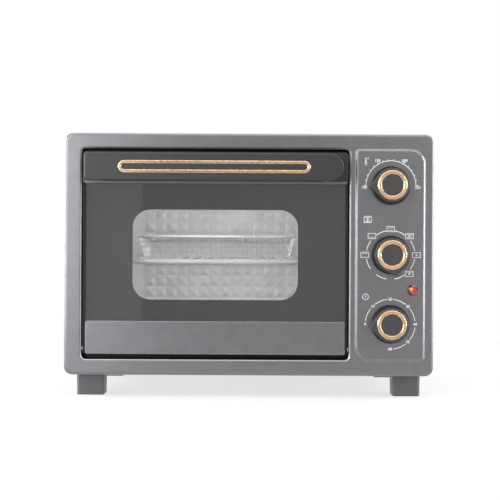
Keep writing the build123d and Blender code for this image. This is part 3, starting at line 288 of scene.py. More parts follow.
def make_front_finish():
    """The lacquer of the front, with painted shade, near black, in the recess behind the door and a painted
    highlight along its lip.

    The distance outside the round-cornered opening is the length of (|x - middle| - half width +
    corner, the same in z), each at least 0, less the corner's radius. The recess is where it is
    under 0.2 mm and over 1.2 mm behind the door's trim; the lip fades out 1.3 mm outside.
    """
    material = make_lacquer("front_lacquer")
    tree = material.node_tree
    link = tree.links.new
    place = object_axes(tree)
    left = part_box("door_side_left")[0].x - door_side_gap
    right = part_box("door_side_right")[1].x + door_side_gap
    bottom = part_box("door_trim")[0].z - door_low_gap
    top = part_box("door_handle")[1].z + door_top_gap
    beyond = node(tree, "CombineXYZ")
    for axis, start, end in (("X", left, right), ("Z", bottom, top)):
        away = computed(tree, "SUBTRACT", place[axis], (start + end) / 2)
        reach = (end - start) / 2 - opening_corner
        over = computed(tree, "SUBTRACT", computed(tree, "ABSOLUTE", away, 0.0), reach)
        link(computed(tree, "MAXIMUM", over, 0.0), beyond.inputs[axis])
    length = node(tree, "VectorMath", operation="LENGTH")
    link(beyond.outputs[0], length.inputs[0])
    outside = computed(tree, "SUBTRACT", length.outputs["Value"], opening_corner)
    deep = computed(tree, "GREATER_THAN", place["Y"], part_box("door_trim")[0].y + 1.2 * mm)
    recess = computed(tree, "MULTIPLY", computed(tree, "LESS_THAN", outside, 0.2 * mm), deep)
    # A painted highlight along the lip, and painted shade, near black and without coat, in the recess
    # behind the door.
    paint_over(material, ramp(tree, outside, 1.3 * mm, 0.8 * mm), (0.72, 0.72, 0.73))
    paint_over(material, recess, (0.01, 0.01, 0.011))
    coat = tree.nodes["Principled BSDF"].inputs["Coat Weight"]
    link(ramp(tree, recess, 0.0, 1.0, coat.default_value, 0.0), coat)
    return material


case_paint = make_lacquer("case_paint")
zinc_steel = grained(
    "zinc_steel",
    dark=(0.42, 0.43, 0.44),
    light=(0.56, 0.57, 0.58),
    smooth=0.32,
    rough=0.5,
    scale=420.0,
    patches=0.5,
    bump=0.15,
    edge_wear_and_highlight=(0.62, 0.63, 0.64),
    metallic=0.9,
)
dress(make_front_finish(), "front_frame")
dress(case_paint, "wrap_cover", "back_cover", "base_pan", "door_trim")
dress(zinc_steel, "cavity_supports", "hinge_bracket_left", "hinge_bracket_right")

# The four feet and the bush of the mains lead.
# The feet are moulded black plastic with a fine spark-eroded grain, each held by a screw up its
# middle; the bush is soft rubber snapped into the back sheet.

foot_plastic = grained(
    "foot_plastic",
    dark=(0.075, 0.075, 0.08),
    light=(0.115, 0.115, 0.12),
    smooth=0.42,
    rough=0.58,
    scale=1900.0,
    bump=0.35,
    edge_wear_and_highlight=(0.17, 0.17, 0.175),
)
rubber = grained(
    "rubber",
    dark=(0.018, 0.018, 0.019),
    light=(0.032, 0.032, 0.033),
    smooth=0.6,
    rough=0.8,
    scale=1200.0,
    bump=0.4,
)
dress(foot_plastic, "foot_front_left", "foot_front_right", "foot_rear_left", "foot_rear_right")
dress(rubber, "cord_bush")

# The cooking chamber: sleeve, pyramid-pressed back wall, and the fan's grille and dish.
# All are pale aluminised sheet, flanged and spot-welded together; rolling leaves faint streaks
# along it. The dish behind the grille is zinc-coated.


def make_streak_group():
    """Streaks along a rolled sheet.

    They are noise drawn out about 17 times along y, blended with soft clouds for the mask; the
    streaks alone are the height.
    """
    group, given, made = new_group("streaks", finish_inputs, finish_outputs)
    link = group.links.new
    place = object_place(group)
    stretch = node(group, "Mapping")
    stretch.inputs["Scale"].default_value = (1.0, 0.06, 1.0)
    link(place, stretch.inputs["Vector"])
    streaks = node(group, "TexNoise", detail=4.0, roughness=0.65)
    link(stretch.outputs[0], streaks.inputs["Vector"])
    link(given.outputs["Scale"], streaks.inputs["Scale"])
    clouds = node(group, "TexNoise", scale=26.0, detail=3.0)
    link(place, clouds.inputs["Vector"])
    mean = node(group, "Mix", data_type="FLOAT", factor=0.45)
    link(streaks.outputs["Fac"], mean.inputs[2])
    link(clouds.outputs["Fac"], mean.inputs[3])
    put_out_finish(group, given, made, mean.outputs[0], 0.35, 0.65, streaks.outputs["Fac"])
    return group


streak_group = make_streak_group()


def streaked(name, dark, light, smooth, rough, scale, bump=0.1, **plain):
    """A bare metal with rolling or drawing streaks along its length; values as for grained."""
    material, tree, link, shader = new_material(name, **plain)
    streaks = use_group(tree, streak_group, dark=dark, light=light, scale=scale, smooth=smooth, rough=rough)
    link(streaks.outputs["Colour"], shader.inputs["Base Color"])
    link(streaks.outputs["Roughness"], shader.inputs["Roughness"])
    relief = node(tree, "Bump", strength=0.4, distance=bump * 0.1 * mm)
    link(streaks.outputs["Height"], relief.inputs["Height"])
    link(relief.outputs["Normal"], shader.inputs["Normal"])
    return material


chamber_steel = streaked(
    "chamber_steel",
    dark=(0.56, 0.56, 0.555),
    light=(0.7, 0.7, 0.69),
    smooth=0.32,
    rough=0.46,
    scale=700.0,
    metallic=0.3,
)
dress(chamber_steel, "cavity_liner", "cavity_back", "fan_grille")
dress(zinc_steel, "fan_housing")

# The four heating rods and their ceramic bushes.
# Each rod is a steel tube round a wire in magnesia, dulled brown-grey by heat, with a pin at each
# end; square unglazed ceramic bushes hold it in the chamber's side walls.

heater_sheath = streaked(
    "heater_sheath",
    dark=(0.16, 0.145, 0.135),
    light=(0.3, 0.285, 0.27),
    smooth=0.35,
    rough=0.55,
    scale=500.0,
    metallic=0.8,
)
ceramic = grained(
    "ceramic",
    dark=(0.7, 0.68, 0.62),
    light=(0.82, 0.8, 0.75),
    smooth=0.55,
    rough=0.75,
    scale=1500.0,
    bump=0.5,
)
dress(heater_sheath, "upper_front_heater", "upper_rear_heater", "lower_front_heater", "lower_rear_heater")
dress(ceramic, "heater_insulators")

# The fan wheel and its shaded-pole motor.
# The wheel is pressed aluminium on a steel shaft; the motor is a stack of iron laminations with
# a taped copper coil on its lower leg, on a zinc-plated bracket.

fan_metal = streaked(
    "fan_metal",
    dark=(0.6, 0.6, 0.61),
    light=(0.75, 0.75, 0.76),
    smooth=0.3,
    rough=0.45,
    scale=900.0,
    metallic=0.9,
)
laminations = grained(
    "laminations",
    dark=(0.12, 0.12, 0.125),
    light=(0.2, 0.2, 0.21),
    smooth=0.4,
    rough=0.55,
    scale=900.0,
    metallic=0.85,
)
coil_tape = grained(
    "coil_tape",
    dark=(0.42, 0.24, 0.04),
    light=(0.62, 0.38, 0.08),
    smooth=0.5,
    rough=0.7,
    scale=1600.0,
)


def band(material, depth, **wave):
    """Gives a finish parallel bands for its relief, in place of its grain."""
    tree = material.node_tree
    bands = node(tree, "TexWave", **wave)
    tree.links.new(object_place(tree), bands.inputs["Vector"])
    relief = tree.nodes["Bump"]
    relief.inputs["Distance"].default_value = depth
    tree.links.new(bands.outputs["Fac"], relief.inputs["Height"])


# A sine of x with one turn to each lamination, and a saw of y with one tooth to each turn of tape.
band(laminations, 0.15 * mm, bands_direction="X", scale=314.0, distortion=0.0)
band(coil_tape, 0.3 * mm, bands_direction="Y", wave_profile="SAW", scale=26.0, distortion=0.6)
dress(fan_metal, "fan_wheel", "motor_shaft")
dress(laminations, "fan_motor")
dress(coil_tape, "motor_coil")
dress(zinc_steel, "motor_bracket")

# The thermostat, the function switch, the clockwork timer and the lamp holder.
# The thermostat and the timer have zinc-plated steel cases, and the switch and the lamp holder are
# heat-proof mouldings. Their necks hold them behind the panel, and steel shafts come through it.

switch_plastic = grained(
    "switch_plastic",
    dark=(0.38, 0.36, 0.31),
    light=(0.5, 0.48, 0.42),
    smooth=0.4,
    rough=0.55,
    scale=1100.0,
    bump=0.25,
)
dress(switch_plastic, "function_switch", "lamp_holder")
dress(zinc_steel, "thermostat", "timer_unit", "temperature_shaft", "function_shaft", "timer_shaft")

# The three dials printed on the control panel.
# White screen ink, a few hundredths of a millimetre thick, cured on the lacquer: the scales
# follow each knob's turn, numbers stand on them, and small pictograms show the heating modes.

ink_depth = 0.05 * mm
panel_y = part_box("front_frame")[0].y


def middle_of(name):
    """The middle of a CAD node's box."""
    low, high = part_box(name)
    return (low + high) / 2


def swept(path, normal, section, closed=False):
    """Carries a flat outline along a flat path, with mitred corners.

    At each point the outline's first coordinate runs sideways, in the path's plane, stretched
    at a corner by one over the cosine of half the turn. Its second runs along the normal.
    Returns a grid of points, one row to each point of the path.
    """
    path = np.asarray(path, float)
    normal = np.asarray(normal, float)
    step = np.roll(path, -1, axis=0) - path
    if not closed:
        step[-1] = step[-2]
    step /= np.linalg.norm(step, axis=1, keepdims=True)
    side = np.cross(step, normal)
    before = np.roll(side, 1, axis=0)
    if not closed:
        before[0] = side[0]
    mitre = side + before
    mitre /= (mitre * side).sum(axis=1, keepdims=True)
    across = mitre[:, None] * section[None, :, :1]
    return path[:, None] + across + normal * section[None, :, 1:]


def skin(grid, closed=False):
    """Vertices and faces of a tube whose rows are rings; its two ends are capped unless it closes."""
    rows, columns = grid.shape[:2]
    row = np.arange(rows if closed else rows - 1)[:, None]
    column = np.arange(columns)[None, :]
    beside = (column + 1) % columns
    here, after = row * columns, (row + 1) % rows * columns
    corners = np.stack([here + column, here + beside, after + beside, after + column], axis=-1)
    quads = corners.reshape(-1, 4).tolist()
    if not closed:
        quads.append(list(range(columns)))
        quads.append(list(range(rows * columns - 1, (rows - 1) * columns - 1, -1)))
    return grid.reshape(-1, 3), quads


def piece(name, parts, body, finish, smooth=False, replaces=()):
    """One object made of several skins, which rides on a body of the frame and fills a slot."""
    vertices, faces, start = [], [], 0
    for points, quads in parts:
        vertices.append(np.asarray(points, float))
        faces += [[index + start for index in face] for face in quads]
        start += len(points)
    mesh = bpy.data.meshes.new(name)
    mesh.from_pydata(np.concatenate(vertices).tolist(), [], faces)
    shell = bmesh.new()
    shell.from_mesh(mesh)
    bmesh.ops.recalc_face_normals(shell, faces=shell.faces)
    shell.to_mesh(mesh)
    shell.free()
    mesh.polygons.foreach_set("use_smooth", [smooth] * len(mesh.polygons))
    mesh.materials.append(finish)
    made = bpy.data.objects.new(name, mesh)
    bpy.context.scene.collection.objects.link(made)
    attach(made, body)
    if replaces:
        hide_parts(*replaces)
    return made


def printed(points, width, closed=False):
    """A stroke of ink on the panel: points are X and Z, and the ink stands proud by its depth."""
    points = np.asarray(points, float)
    path = np.stack([points[:, 0], np.full(len(points), panel_y), points[:, 1]], axis=1)
    half = width / 2
    section = np.array([[-half, 0.0], [half, 0.0], [half, ink_depth], [-half, ink_depth]])
    return skin(swept(path, (0, -1, 0), section, closed), closed)


def arc_points(centre, radius, start, end, steps):
    """Points along an arc; angles in degrees, anticlockwise as seen from the front."""
    turn = np.radians(np.linspace(start, end, steps + 1))
    return np.stack([centre[0] + radius * np.cos(turn), centre[1] + radius * np.sin(turn)], axis=1)


def figure(text, centre, height):
    """Plain numerals as solid ink, centred on a point of the panel."""
    curve = bpy.data.curves.new("figure", "FONT")
    curve.body = text
    curve.size = height / 0.7
    curve.align_x = "CENTER"
    curve.align_y = "CENTER"
    curve.extrude = ink_depth / 2
    curve.offset = 0.03 * height
    curve.resolution_u = 3
    holder = bpy.data.objects.new("figure", curve)
    bpy.context.scene.collection.objects.link(holder)
    bpy.context.view_layer.update()
    mesh = bpy.data.meshes.new_from_object(holder.evaluated_get(bpy.context.evaluated_depsgraph_get()))
    flat = np.empty(len(mesh.vertices) * 3)
    mesh.vertices.foreach_get("co", flat)
    flat = flat.reshape(-1, 3)
    points = np.stack(
        [centre[0] + flat[:, 0], panel_y - ink_depth / 2 - flat[:, 2], centre[1] + flat[:, 1]], axis=1
    )
    faces = [list(face.vertices) for face in mesh.polygons]
    bpy.data.objects.remove(holder)
    bpy.data.curves.remove(curve)
    bpy.data.meshes.remove(mesh)
    return points, faces


def box_points(centre, width, height):
    """The corners of an upright rectangle."""
    x, z = centre
    return [
        (x - width / 2, z - height / 2),
        (x + width / 2, z - height / 2),
        (x + width / 2, z + height / 2),
        (x - width / 2, z + height / 2),
    ]


def zigzag(centre, width, height, teeth):
    """The sign of a heating rod: a line that swings up and down teeth times."""
    x = np.linspace(centre[0] - width / 2, centre[0] + width / 2, 2 * teeth + 1)
    z = centre[1] + height / 2 * np.where(np.arange(2 * teeth + 1) % 2, 1, -1)
    return np.stack([x, z], axis=1)


def at(centre, angle, radius):
    """A point round a centre; the angle in degrees."""
    turn = math.radians(angle)
    return centre[0] + radius * math.cos(turn), centre[1] + radius * math.sin(turn)


def fan_sign(centre, hub, start, end):
    """The sign of the fan: a hub with four slanting blades from start to end."""
    strokes = [(arc_points(centre, hub, 0, 324, 9), thin_line, True)]
    for turn in (45, 135, 225, 315):
        strokes.append(([at(centre, turn, start), at(centre, turn + 25, end)], 0.5 * mm, False))
    return strokes


white_ink = grained(
    "white_ink",
    dark=(0.82, 0.82, 0.82),
    light=(0.92, 0.92, 0.91),
    smooth=0.4,
    rough=0.55,
    scale=2400.0,
    bump=0.1,
)
line_width = 0.85 * mm
thin_line = 0.4 * mm
scale_radius = 30.3 * mm
number_height = 3.3 * mm


def print_dial(name, strokes, figures):
    """One dial's ink as one piece: strokes are (points, width, closed) and figures (text, centre)."""
    parts = [printed(points, width, closed) for points, width, closed in strokes]
    parts += [figure(text, centre, number_height) for text, centre in figures]
    return piece(f"{name}_print", parts, "case", white_ink)


dial = {}
for name in ("temperature", "function", "timer"):
    centre = middle_of(f"{name}_ring")
    dial[name] = (centre.x, centre.z)

# Temperature: an arc over the top from 100 at the left to 250 at the right, a tick each 10 degrees.
centre = dial["temperature"]
strokes = [(arc_points(centre, scale_radius, 180, 0, 60), line_width, False)]
for index in range(16):
    angle = 180 - index * 12
    outer = scale_radius + (2.0 if index % 5 else 2.9) * mm
    strokes.append(([at(centre, angle, scale_radius), at(centre, angle, outer)], line_width, False))
figures = [
    ("100", at(centre, 184.0, scale_radius + 2.2 * mm)),
    ("150", at(centre, 118.5, scale_radius + 4.1 * mm)),
    ("200", at(centre, 61.5, scale_radius + 4.1 * mm)),
    ("250", at(centre, -4.0, scale_radius + 2.2 * mm)),
]

# Its sign is a thermometer, a bulb with a round-topped tube, beside a small c.
bulb_x, bulb_z = centre[0] - 30.6 * mm, centre[1] + 26.4 * mm
bulb_radius, tube_radius = 1.5 * mm, 0.65 * mm
tube_top = bulb_z + 6.8 * mm
tube = arc_points((bulb_x, bulb_z), bulb_radius, 115, 425, 20).tolist()
tube += [(bulb_x + tube_radius, tube_top)]
tube += arc_points((bulb_x, tube_top), tube_radius, 30, 150, 5).tolist()
tube += [(bulb_x - tube_radius, tube_top)]
strokes.append((tube, thin_line, True))
strokes.append(([(bulb_x, bulb_z), (bulb_x, bulb_z + 5.1 * mm)], 0.5 * mm, False))
letter = (bulb_x + 3.4 * mm, bulb_z + 6.6 * mm)
strokes.append((arc_points(letter, 1.1 * mm, 60, 300, 12), thin_line, False))
print_dial("temperature", strokes, figures)

# Function: eight places round the knob, six with a pictogram of the rods and fan in use.
centre = dial["function"]
strokes = []
for index in range(8):
    start = index * 45 + 9.5
    strokes.append((arc_points(centre, 29.6 * mm, start, start + 26, 12), line_width, False))
picture_width, picture_height = 9.4 * mm, 6.2 * mm
for angle, top, bottom, fan in (
    (180, True, False, False),
    (135, False, True, False),
    (90, True, True, False),
    (45, True, True, True),
    (0, False, False, True),
    (-45, True, False, True),
):
    place = at(centre, angle, 32.2 * mm if angle % 90 else 31.4 * mm)
    strokes.append((box_points(place, picture_width, picture_height), 0.6 * mm, True))
    for shown, side in ((top, 1), (bottom, -1)):
        if shown:
            row = (place[0], place[1] + side * 1.55 * mm)
            strokes.append((zigzag(row, picture_width - 2.4 * mm, 0.9 * mm, 4), 0.32 * mm, False))
    if fan:
        strokes += fan_sign(place, 0.45 * mm, 0.6 * mm, 1.5 * mm)
sign = (centre[0] - 28.0 * mm, centre[1] + 43.0 * mm)
strokes.append((box_points(sign, 8.6 * mm, 7.6 * mm), 0.5 * mm, True))
for side in (-1, 1):
    strokes.append((zigzag((sign[0], sign[1] + side * 2.3 * mm), 6.0 * mm, 1.0 * mm, 4), thin_line, False))
strokes += fan_sign(sign, 0.6 * mm, 0.8 * mm, 1.7 * mm)
print_dial("function", strokes, [])

# Timer: minutes from 0 to 60, an eighth of a turn for each 10, with the numbers set in the arc.
centre = dial["timer"]
strokes, figures = [], []
for index in range(7):
    angle = 180 - index * 45
    figures.append((str(index * 10), at(centre, angle, scale_radius)))
    if index < 6:
        strokes.append((arc_points(centre, scale_radius, angle - 7.5, angle - 37.5, 14), line_width, False))
        for step in (9, 18, 27, 36):
            ends = [at(centre, angle - step, radius) for radius in (scale_radius, scale_radius + 1.0 * mm)]
            strokes.append((ends, thin_line, False))
sign = (centre[0] - 30.2 * mm, centre[1] + 33.2 * mm)
strokes.append((arc_points(sign, 3.6 * mm, 0, 345, 23), 0.55 * mm, True))
hands = [(sign[0], sign[1] + 2.2 * mm), sign, (sign[0] + 1.5 * mm, sign[1] - 0.9 * mm)]
strokes.append((hands, 0.45 * mm, False))
print_dial("timer", strokes, figures)

# The three knobs with their plated rings.
# The knobs are moulded dark grey plastic, finely matt, pushed on their shafts; each ring is bright
# gold-coloured plating on a round-backed plastic core, pressed into the knob's face.


def make_knob_finish():
    """Dark grey plastic, satin on the face, with a painted highlight on its rounded edges and painted shade
    down the sides.

    The painted shade goes to black over the 5 mm behind the depth at which the rolled edge ends.
    """
    material = grained(
        "knob_plastic",
        dark=(0.034, 0.033, 0.036),
        light=(0.044, 0.043, 0.047),
        smooth=0.3,
        rough=0.42,
        scale=2600.0,
        bump=0.12,
        # A painted highlight on the rounded edges.
        edge_wear_and_highlight=(0.3, 0.3, 0.305),
        soft=1.1,
    )
    tree = material.node_tree
    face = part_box("timer_knob")[0].y
    # Painted shade, darker down the sides towards the panel.
    side = ramp(tree, object_axes(tree)["Y"], face + 1.5 * mm, face + 6.5 * mm)
    paint_over(material, side, (0.008, 0.008, 0.009))
    return material


knob_plastic = make_knob_finish()
gold_plate = grained(
    "gold_plate",
    dark=(0.6, 0.36, 0.15),
    light=(0.84, 0.58, 0.32),
    smooth=0.06,
    rough=0.16,
    scale=900.0,
    bump=0.2,
    # A painted highlight, near white, over the rounded back of the rings and the inlay.
    edge_wear_and_highlight=(1.0, 0.86, 0.66),
    soft=2.4,
    metallic=1.0,
)
for name in dial:
    dress(knob_plastic, f"{name}_knob")
    dress(gold_plate, f"{name}_ring")

# The pilot lamp: a cut red lens, with painted shade round its rim and painted glints on it.
# The lens is clear red acrylic moulded with a ring of flat facets round a flat table; it snaps
# into the holder from the front.


def make_lens_finish():
    """Red acrylic with painted orange glints on its cut facets, and painted shade, dark brown, round its
    rim.

    The rim is where the distance from the lens's axis passes two thirds of its radius. Each cell
    of the cell noise stands for a facet, and the ones of high value take a painted glint.
    """
    low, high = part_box("lamp_lens")
    middle = (low + high) / 2
    radius = (high.x - low.x) / 2
    material = grained(
        "lamp_red",
        dark=(0.34, 0.012, 0.006),
        light=(0.5, 0.035, 0.012),
        smooth=0.05,
        rough=0.12,
        scale=700.0,
        bump=0.05,
        coat_weight=0.6,
    )
    tree = material.node_tree
    link = tree.links.new
    place = object_place(tree)
    centred = node(tree, "Mapping")
    centred.inputs["Location"].default_value = (-middle.x, 0, -middle.z)
    centred.inputs["Scale"].default_value = (1, 0, 1)
    link(place, centred.inputs["Vector"])
    away = node(tree, "VectorMath", operation="LENGTH")
    link(centred.outputs[0], away.inputs[0])
    rim = ramp(tree, away.outputs["Value"], 0.62 * radius, 0.72 * radius)
    facets = node(tree, "TexVoronoi", scale=420.0)
    link(place, facets.inputs["Vector"])
    chance = node(tree, "SeparateXYZ")
    link(facets.outputs["Color"], chance.inputs[0])
    glint = ramp(tree, chance.outputs["X"], 0.76, 0.8)
    # Painted orange glints, then painted shade round the rim with fainter glints in it.
    paint_over(material, glint, (0.7, 0.38, 0.08))
    paint_over(material, rim, blend_colours(tree, glint, (0.035, 0.016, 0.01), (0.25, 0.11, 0.03)))
    return material


dress(make_lens_finish(), "lamp_lens")

# The door's glass and the dark ceramic print on its back.
# The pane is 4 mm toughened glass; the print is fired on, leaves a round-cornered window clear,
# and hides the channels and the chamber's edge.

glass_low, glass_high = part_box("door_glass")


def make_glass_finish():
    """Faintly grey clear glass that lets lamps through to what is behind it."""
    material, tree, link, shader = new_material(
        "door_glass", base_color=(0.965, 0.96, 0.97, 1), transmission_weight=1.0, ior=1.5, metallic=0.0
    )
    smears = node(tree, "TexNoise", scale=9.0, detail=5.0)
    link(object_place(tree), smears.inputs["Vector"])
    link(ramp(tree, smears.outputs["Fac"], 0.4, 0.7, 0.0, 0.02), shader.inputs["Roughness"])
    open_way = node(tree, "BsdfTransparent")
    open_way.inputs["Color"].default_value = (0.9, 0.91, 0.905, 1)
    ray = node(tree, "LightPath")
    mix = node(tree, "MixShader")
    link(ray.outputs["Is Shadow Ray"], mix.inputs[0])
    link(shader.outputs[0], mix.inputs[1])
    link(open_way.outputs[0], mix.inputs[2])
    link(mix.outputs[0], tree.nodes["Material Output"].inputs["Surface"])
    return material


def round_outline(x0, x1, z0, z1, radius, steps):
    """A rectangle with round corners as points, anticlockwise; each corner has the same steps."""
    corners = ((x1 - radius, z1 - radius, 0), (x0 + radius, z1 - radius, 90))
    corners += ((x0 + radius, z0 + radius, 180), (x1 - radius, z0 + radius, 270))
    arcs = [arc_points((x, z), radius, start, start + 90, steps) for x, z, start in corners]
    return np.concatenate(arcs)


window = (-141.9 * mm, 59.6 * mm, glass_high.z - 179.8 * mm, glass_high.z - 70.0 * mm)
window_radius = 21.6 * mm
print_gap = 0.05 * mm
print_depth = 0.12 * mm
outer = round_outline(glass_low.x, glass_high.x, glass_low.z, glass_high.z, 3 * mm, 12)
inner = round_outline(*window, window_radius, 12)
front = glass_high.y + print_gap
back = front + print_depth
section = [(inner, front), (outer, front), (outer, back), (inner, back)]
grid = np.stack([np.insert(line, 1, y, axis=1) for line, y in section], axis=1)
glass_print = grained(
    "glass_print",
    dark=(0.016, 0.015, 0.018),
    light=(0.023, 0.022, 0.025),
    smooth=0.4,
    rough=0.55,
    scale=1800.0,
    specular_ior_level=0.05,
)
dress(make_glass_finish(), "door_glass")
piece("glass_border", [skin(grid, closed=True)], "door", glass_print)

# The door's side channels, stay arms and hinge pins.
# The channels are folded steel in dark stoving enamel and the arms zinc-plated strip; the pins
# are bright turned steel, headed behind the frame.

dark_enamel = grained(
    "dark_enamel",
    dark=(0.006, 0.006, 0.007),
    light=(0.012, 0.012, 0.013),
    smooth=0.42,
    rough=0.55,
    scale=1500.0,
    bump=0.12,
    edge_wear_and_highlight=(0.035, 0.035, 0.037),
    specular_ior_level=0.2,
)
bright_steel = streaked(
    "bright_steel",
    dark=(0.6, 0.6, 0.61),
    light=(0.78, 0.78, 0.79),
    smooth=0.12,
    rough=0.26,
    scale=1200.0,
    metallic=1.0,
)
dress(dark_enamel, "door_side_left", "door_side_right")
dress(zinc_steel, "door_arm_left", "door_arm_right")
dress(bright_steel, "hinge_pin_left", "hinge_pin_right")

# The door handle and its plated inlay.
# One dark grey moulding with a finely sparked face; the inlay is the same gold-coloured plating
# as the knobs' rings, pressed into a groove in the handle's front.


def make_handle_finish():
    """Dark grey moulding with a painted highlight on its edges; its foot, a strip on the glass below the
    bar, is made paler by a painted highlight.

    The strip is where the height over the handle's lowest edge is under 3 mm.
    """
    material = grained(
        "handle_plastic",
        dark=(0.025, 0.024, 0.027),
        light=(0.034, 0.033, 0.036),
        smooth=0.32,
        rough=0.44,
        scale=2400.0,
        bump=0.15,
        # A painted highlight on the rounded edges.
        edge_wear_and_highlight=(0.1, 0.1, 0.104),
        soft=0.9,
        specular_ior_level=0.38,
    )
    tree = material.node_tree
    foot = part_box("door_handle")[0].z
    strip = ramp(tree, object_axes(tree)["Z"], foot + 3.0 * mm, foot + 2.8 * mm)
    # Painted highlight: the strip below the bar made paler.
    paint_over(material, strip, (0.13, 0.13, 0.135))
    return material


dress(make_handle_finish(), "door_handle")
dress(gold_plate, "handle_inlay")

# The screws of the back, the feet and the handle.
# Pan heads with a cross recess, rolled threads hidden in their holes, plated bright zinc. Each is
# turned round its own axis and seated where the frame has its screw.

screw_steel = streaked(
    "screw_steel",
    dark=(0.46, 0.46, 0.45),
    light=(0.62, 0.62, 0.6),
    smooth=0.22,
    rough=0.36,
    scale=1400.0,
    metallic=1.0,
)


def apart(name):
    """The separate shells of a CAD node, each as its own array of points.

    Points at the same place count as one. Each takes the lowest number of those it has an edge
    with until nothing changes, so that every shell ends with a number of its own.
    """
    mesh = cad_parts[name].data
    points = np.empty(3 * len(mesh.vertices))
    mesh.vertices.foreach_get("co", points)
    points = points.reshape(-1, 3)
    edges = np.empty(2 * len(mesh.edges), int)
    mesh.edges.foreach_get("vertices", edges)
    same = np.unique(points.round(6), axis=0, return_inverse=True)[1].reshape(-1)
    start, end = same[edges.reshape(-1, 2)].T
    number, before = np.arange(same.max() + 1), None
    while before is None or (number != before).any():
        before = number.copy()
        np.minimum.at(number, start, before[end])
        np.minimum.at(number, end, before[start])
    return [points[number[same] == shell] for shell in np.unique(number)]


def pan_screw(shell, way):
    """A pan-head screw in the room of one CAD screw; way points from its head to its tip.

    The head's face is a quarter-ellipse turned round the axis. The cross sinks it by a depth
    that is full inside an arm's half width and fades out over a tenth of the head's radius.
    The radii of head and shank are the CAD screw's, taken in to the flats of eight sides.
    """
    flats = math.cos(math.pi / 8)
    way = np.asarray(way, float)
    along = shell @ way
    start, end = along.min(), along.max()
    middle = (shell.max(axis=0) + shell.min(axis=0)) / 2
    middle -= way * (middle @ way)
    first = np.array((1.0, 0.0, 0.0))
    second = np.cross(way, first)
    reach = np.hypot((shell - middle) @ first, (shell - middle) @ second)
    head = reach.max() * flats
    under = along[reach > 0.9 * reach.max()].max()
    shank = reach[along > under + 0.2 * (end - under)].max() * flats
    share = np.array([0.02, 0.12, 0.2, 0.28, 0.36, 0.44, 0.5, 0.56, 0.64, 0.74, 0.84, 0.92, 0.97, 1.0])
    turn = np.linspace(0, 2 * math.pi, 48, endpoint=False)
    radius, angle = np.meshgrid(share * head, turn, indexing="ij")
    x, y = radius * np.cos(angle), radius * np.sin(angle)
    arm = np.minimum(abs(x), abs(y)) / head
    cross = np.clip((0.2 - arm) / 0.1, 0, 1) * np.clip((0.58 - radius / head) / 0.1, 0, 1)
    dome = (under - start) * (1 - 0.75 * np.sqrt(1 - 0.98 * (radius / head) ** 2))
    depth = start + np.maximum(dome - 0.25 * (under - start), 0) + cross * 0.55 * (under - start)
    rings = [np.stack([x, y, depth], axis=-1)]
    for size, place in ((head, under), (shank, under), (shank, end - shank), (0.3 * shank, end)):
        ring = np.stack([size * np.cos(turn), size * np.sin(turn), np.full(len(turn), place)], axis=-1)
        rings.append(ring[None])
    grid = np.concatenate(rings)
    return skin(middle + grid[..., :1] * first + grid[..., 1:2] * second + grid[..., 2:] * way)


for name, body, way in (
    ("cover_screws", "case", (0, -1, 0)),
    ("foot_screws", "case", (0, 0, 1)),
    ("handle_screws", "door", (0, -1, 0)),
):
    parts = [pan_screw(shell, way) for shell in apart(name)]
    piece(name.replace("screws", "screw_heads"), parts, body, screw_steel, replaces=(name,))

# The wire rack on its ledges, and the fry basket on it.
# The rack is a stout frame wire with thinner wires welded across. The basket is fine wires bent
# to a U and welded crosswise to hoops under a stout rim wire. Both are nickel-chrome plated.

chrome_wire = streaked(
    "chrome_wire",
    dark=(0.42, 0.42, 0.425),
    light=(0.54, 0.54, 0.545),
    smooth=0.34,
    rough=0.46,
    scale=1300.0,
    metallic=0.4,
)
dress(chrome_wire, "wire_rack")

basket_low, basket_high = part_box("fry_basket")
basket_wire = 0.36 * mm
basket_rim = 1.3 * mm
basket_lean = 7.0 * mm
basket_turn = 6.0 * mm
basket_pitch = 6.5 * mm


def round_section(radius, sides):
    """The outline of a wire."""
    turn = np.linspace(0, 2 * math.pi, sides, endpoint=False)
    return np.stack([radius * np.cos(turn), radius * np.sin(turn)], axis=1)


def bent_wire(span, start, level):
    """One U of the basket: down a leaning side, round a bend, across the floor and up again.

    span is the axis it runs along, start its place on the other axis and level its height over
    the basket's foot. The bends are arcs of 3 mm. Gives the skin of the wire.
    """
    middle = (basket_low[span] + basket_high[span]) / 2
    half = (basket_high[span] - basket_low[span]) / 2 - basket_rim - basket_lean - level
    tall = basket_high.z - basket_low.z - basket_rim
    lean = math.atan2(basket_lean, tall)
    bend = 3 * mm
    turn = np.linspace(0, math.pi / 2 - lean, 5)
    set_in = bend * math.tan((math.pi / 2 - lean) / 2)
    across = half - set_in + bend * np.sin(turn)
    height = level + bend * (1 - np.cos(turn))
    across = np.append(across, half + basket_lean)
    height = np.append(height, tall)
    across = np.concatenate([-across[::-1], across])
    height = np.concatenate([height[::-1], height])
    path = np.empty((len(across), 3))
    path[:, span] = middle + across
    path[:, 1 - span] = start
    path[:, 2] = basket_low.z + height
    normal = (0, 1, 0) if span == 0 else (1, 0, 0)
    return skin(swept(path, normal, round_section(basket_wire, 6)))


def hoop(height, radius, sides):
    """A wire round the basket at a height over its foot, larger as the sides lean out."""
    tall = basket_high.z - basket_low.z - basket_rim
    out = basket_lean * height / tall
    inset = basket_rim + basket_lean - out
    x0, x1 = basket_low.x + inset, basket_high.x - inset
    y0, y1 = basket_low.y + inset, basket_high.y - inset
    flat = round_outline(x0, x1, y0, y1, basket_turn + out, 8)
    path = np.column_stack([flat, np.full(len(flat), basket_low.z + height)])
    return skin(swept(path, (0, 0, 1), round_section(radius, sides), closed=True), closed=True)


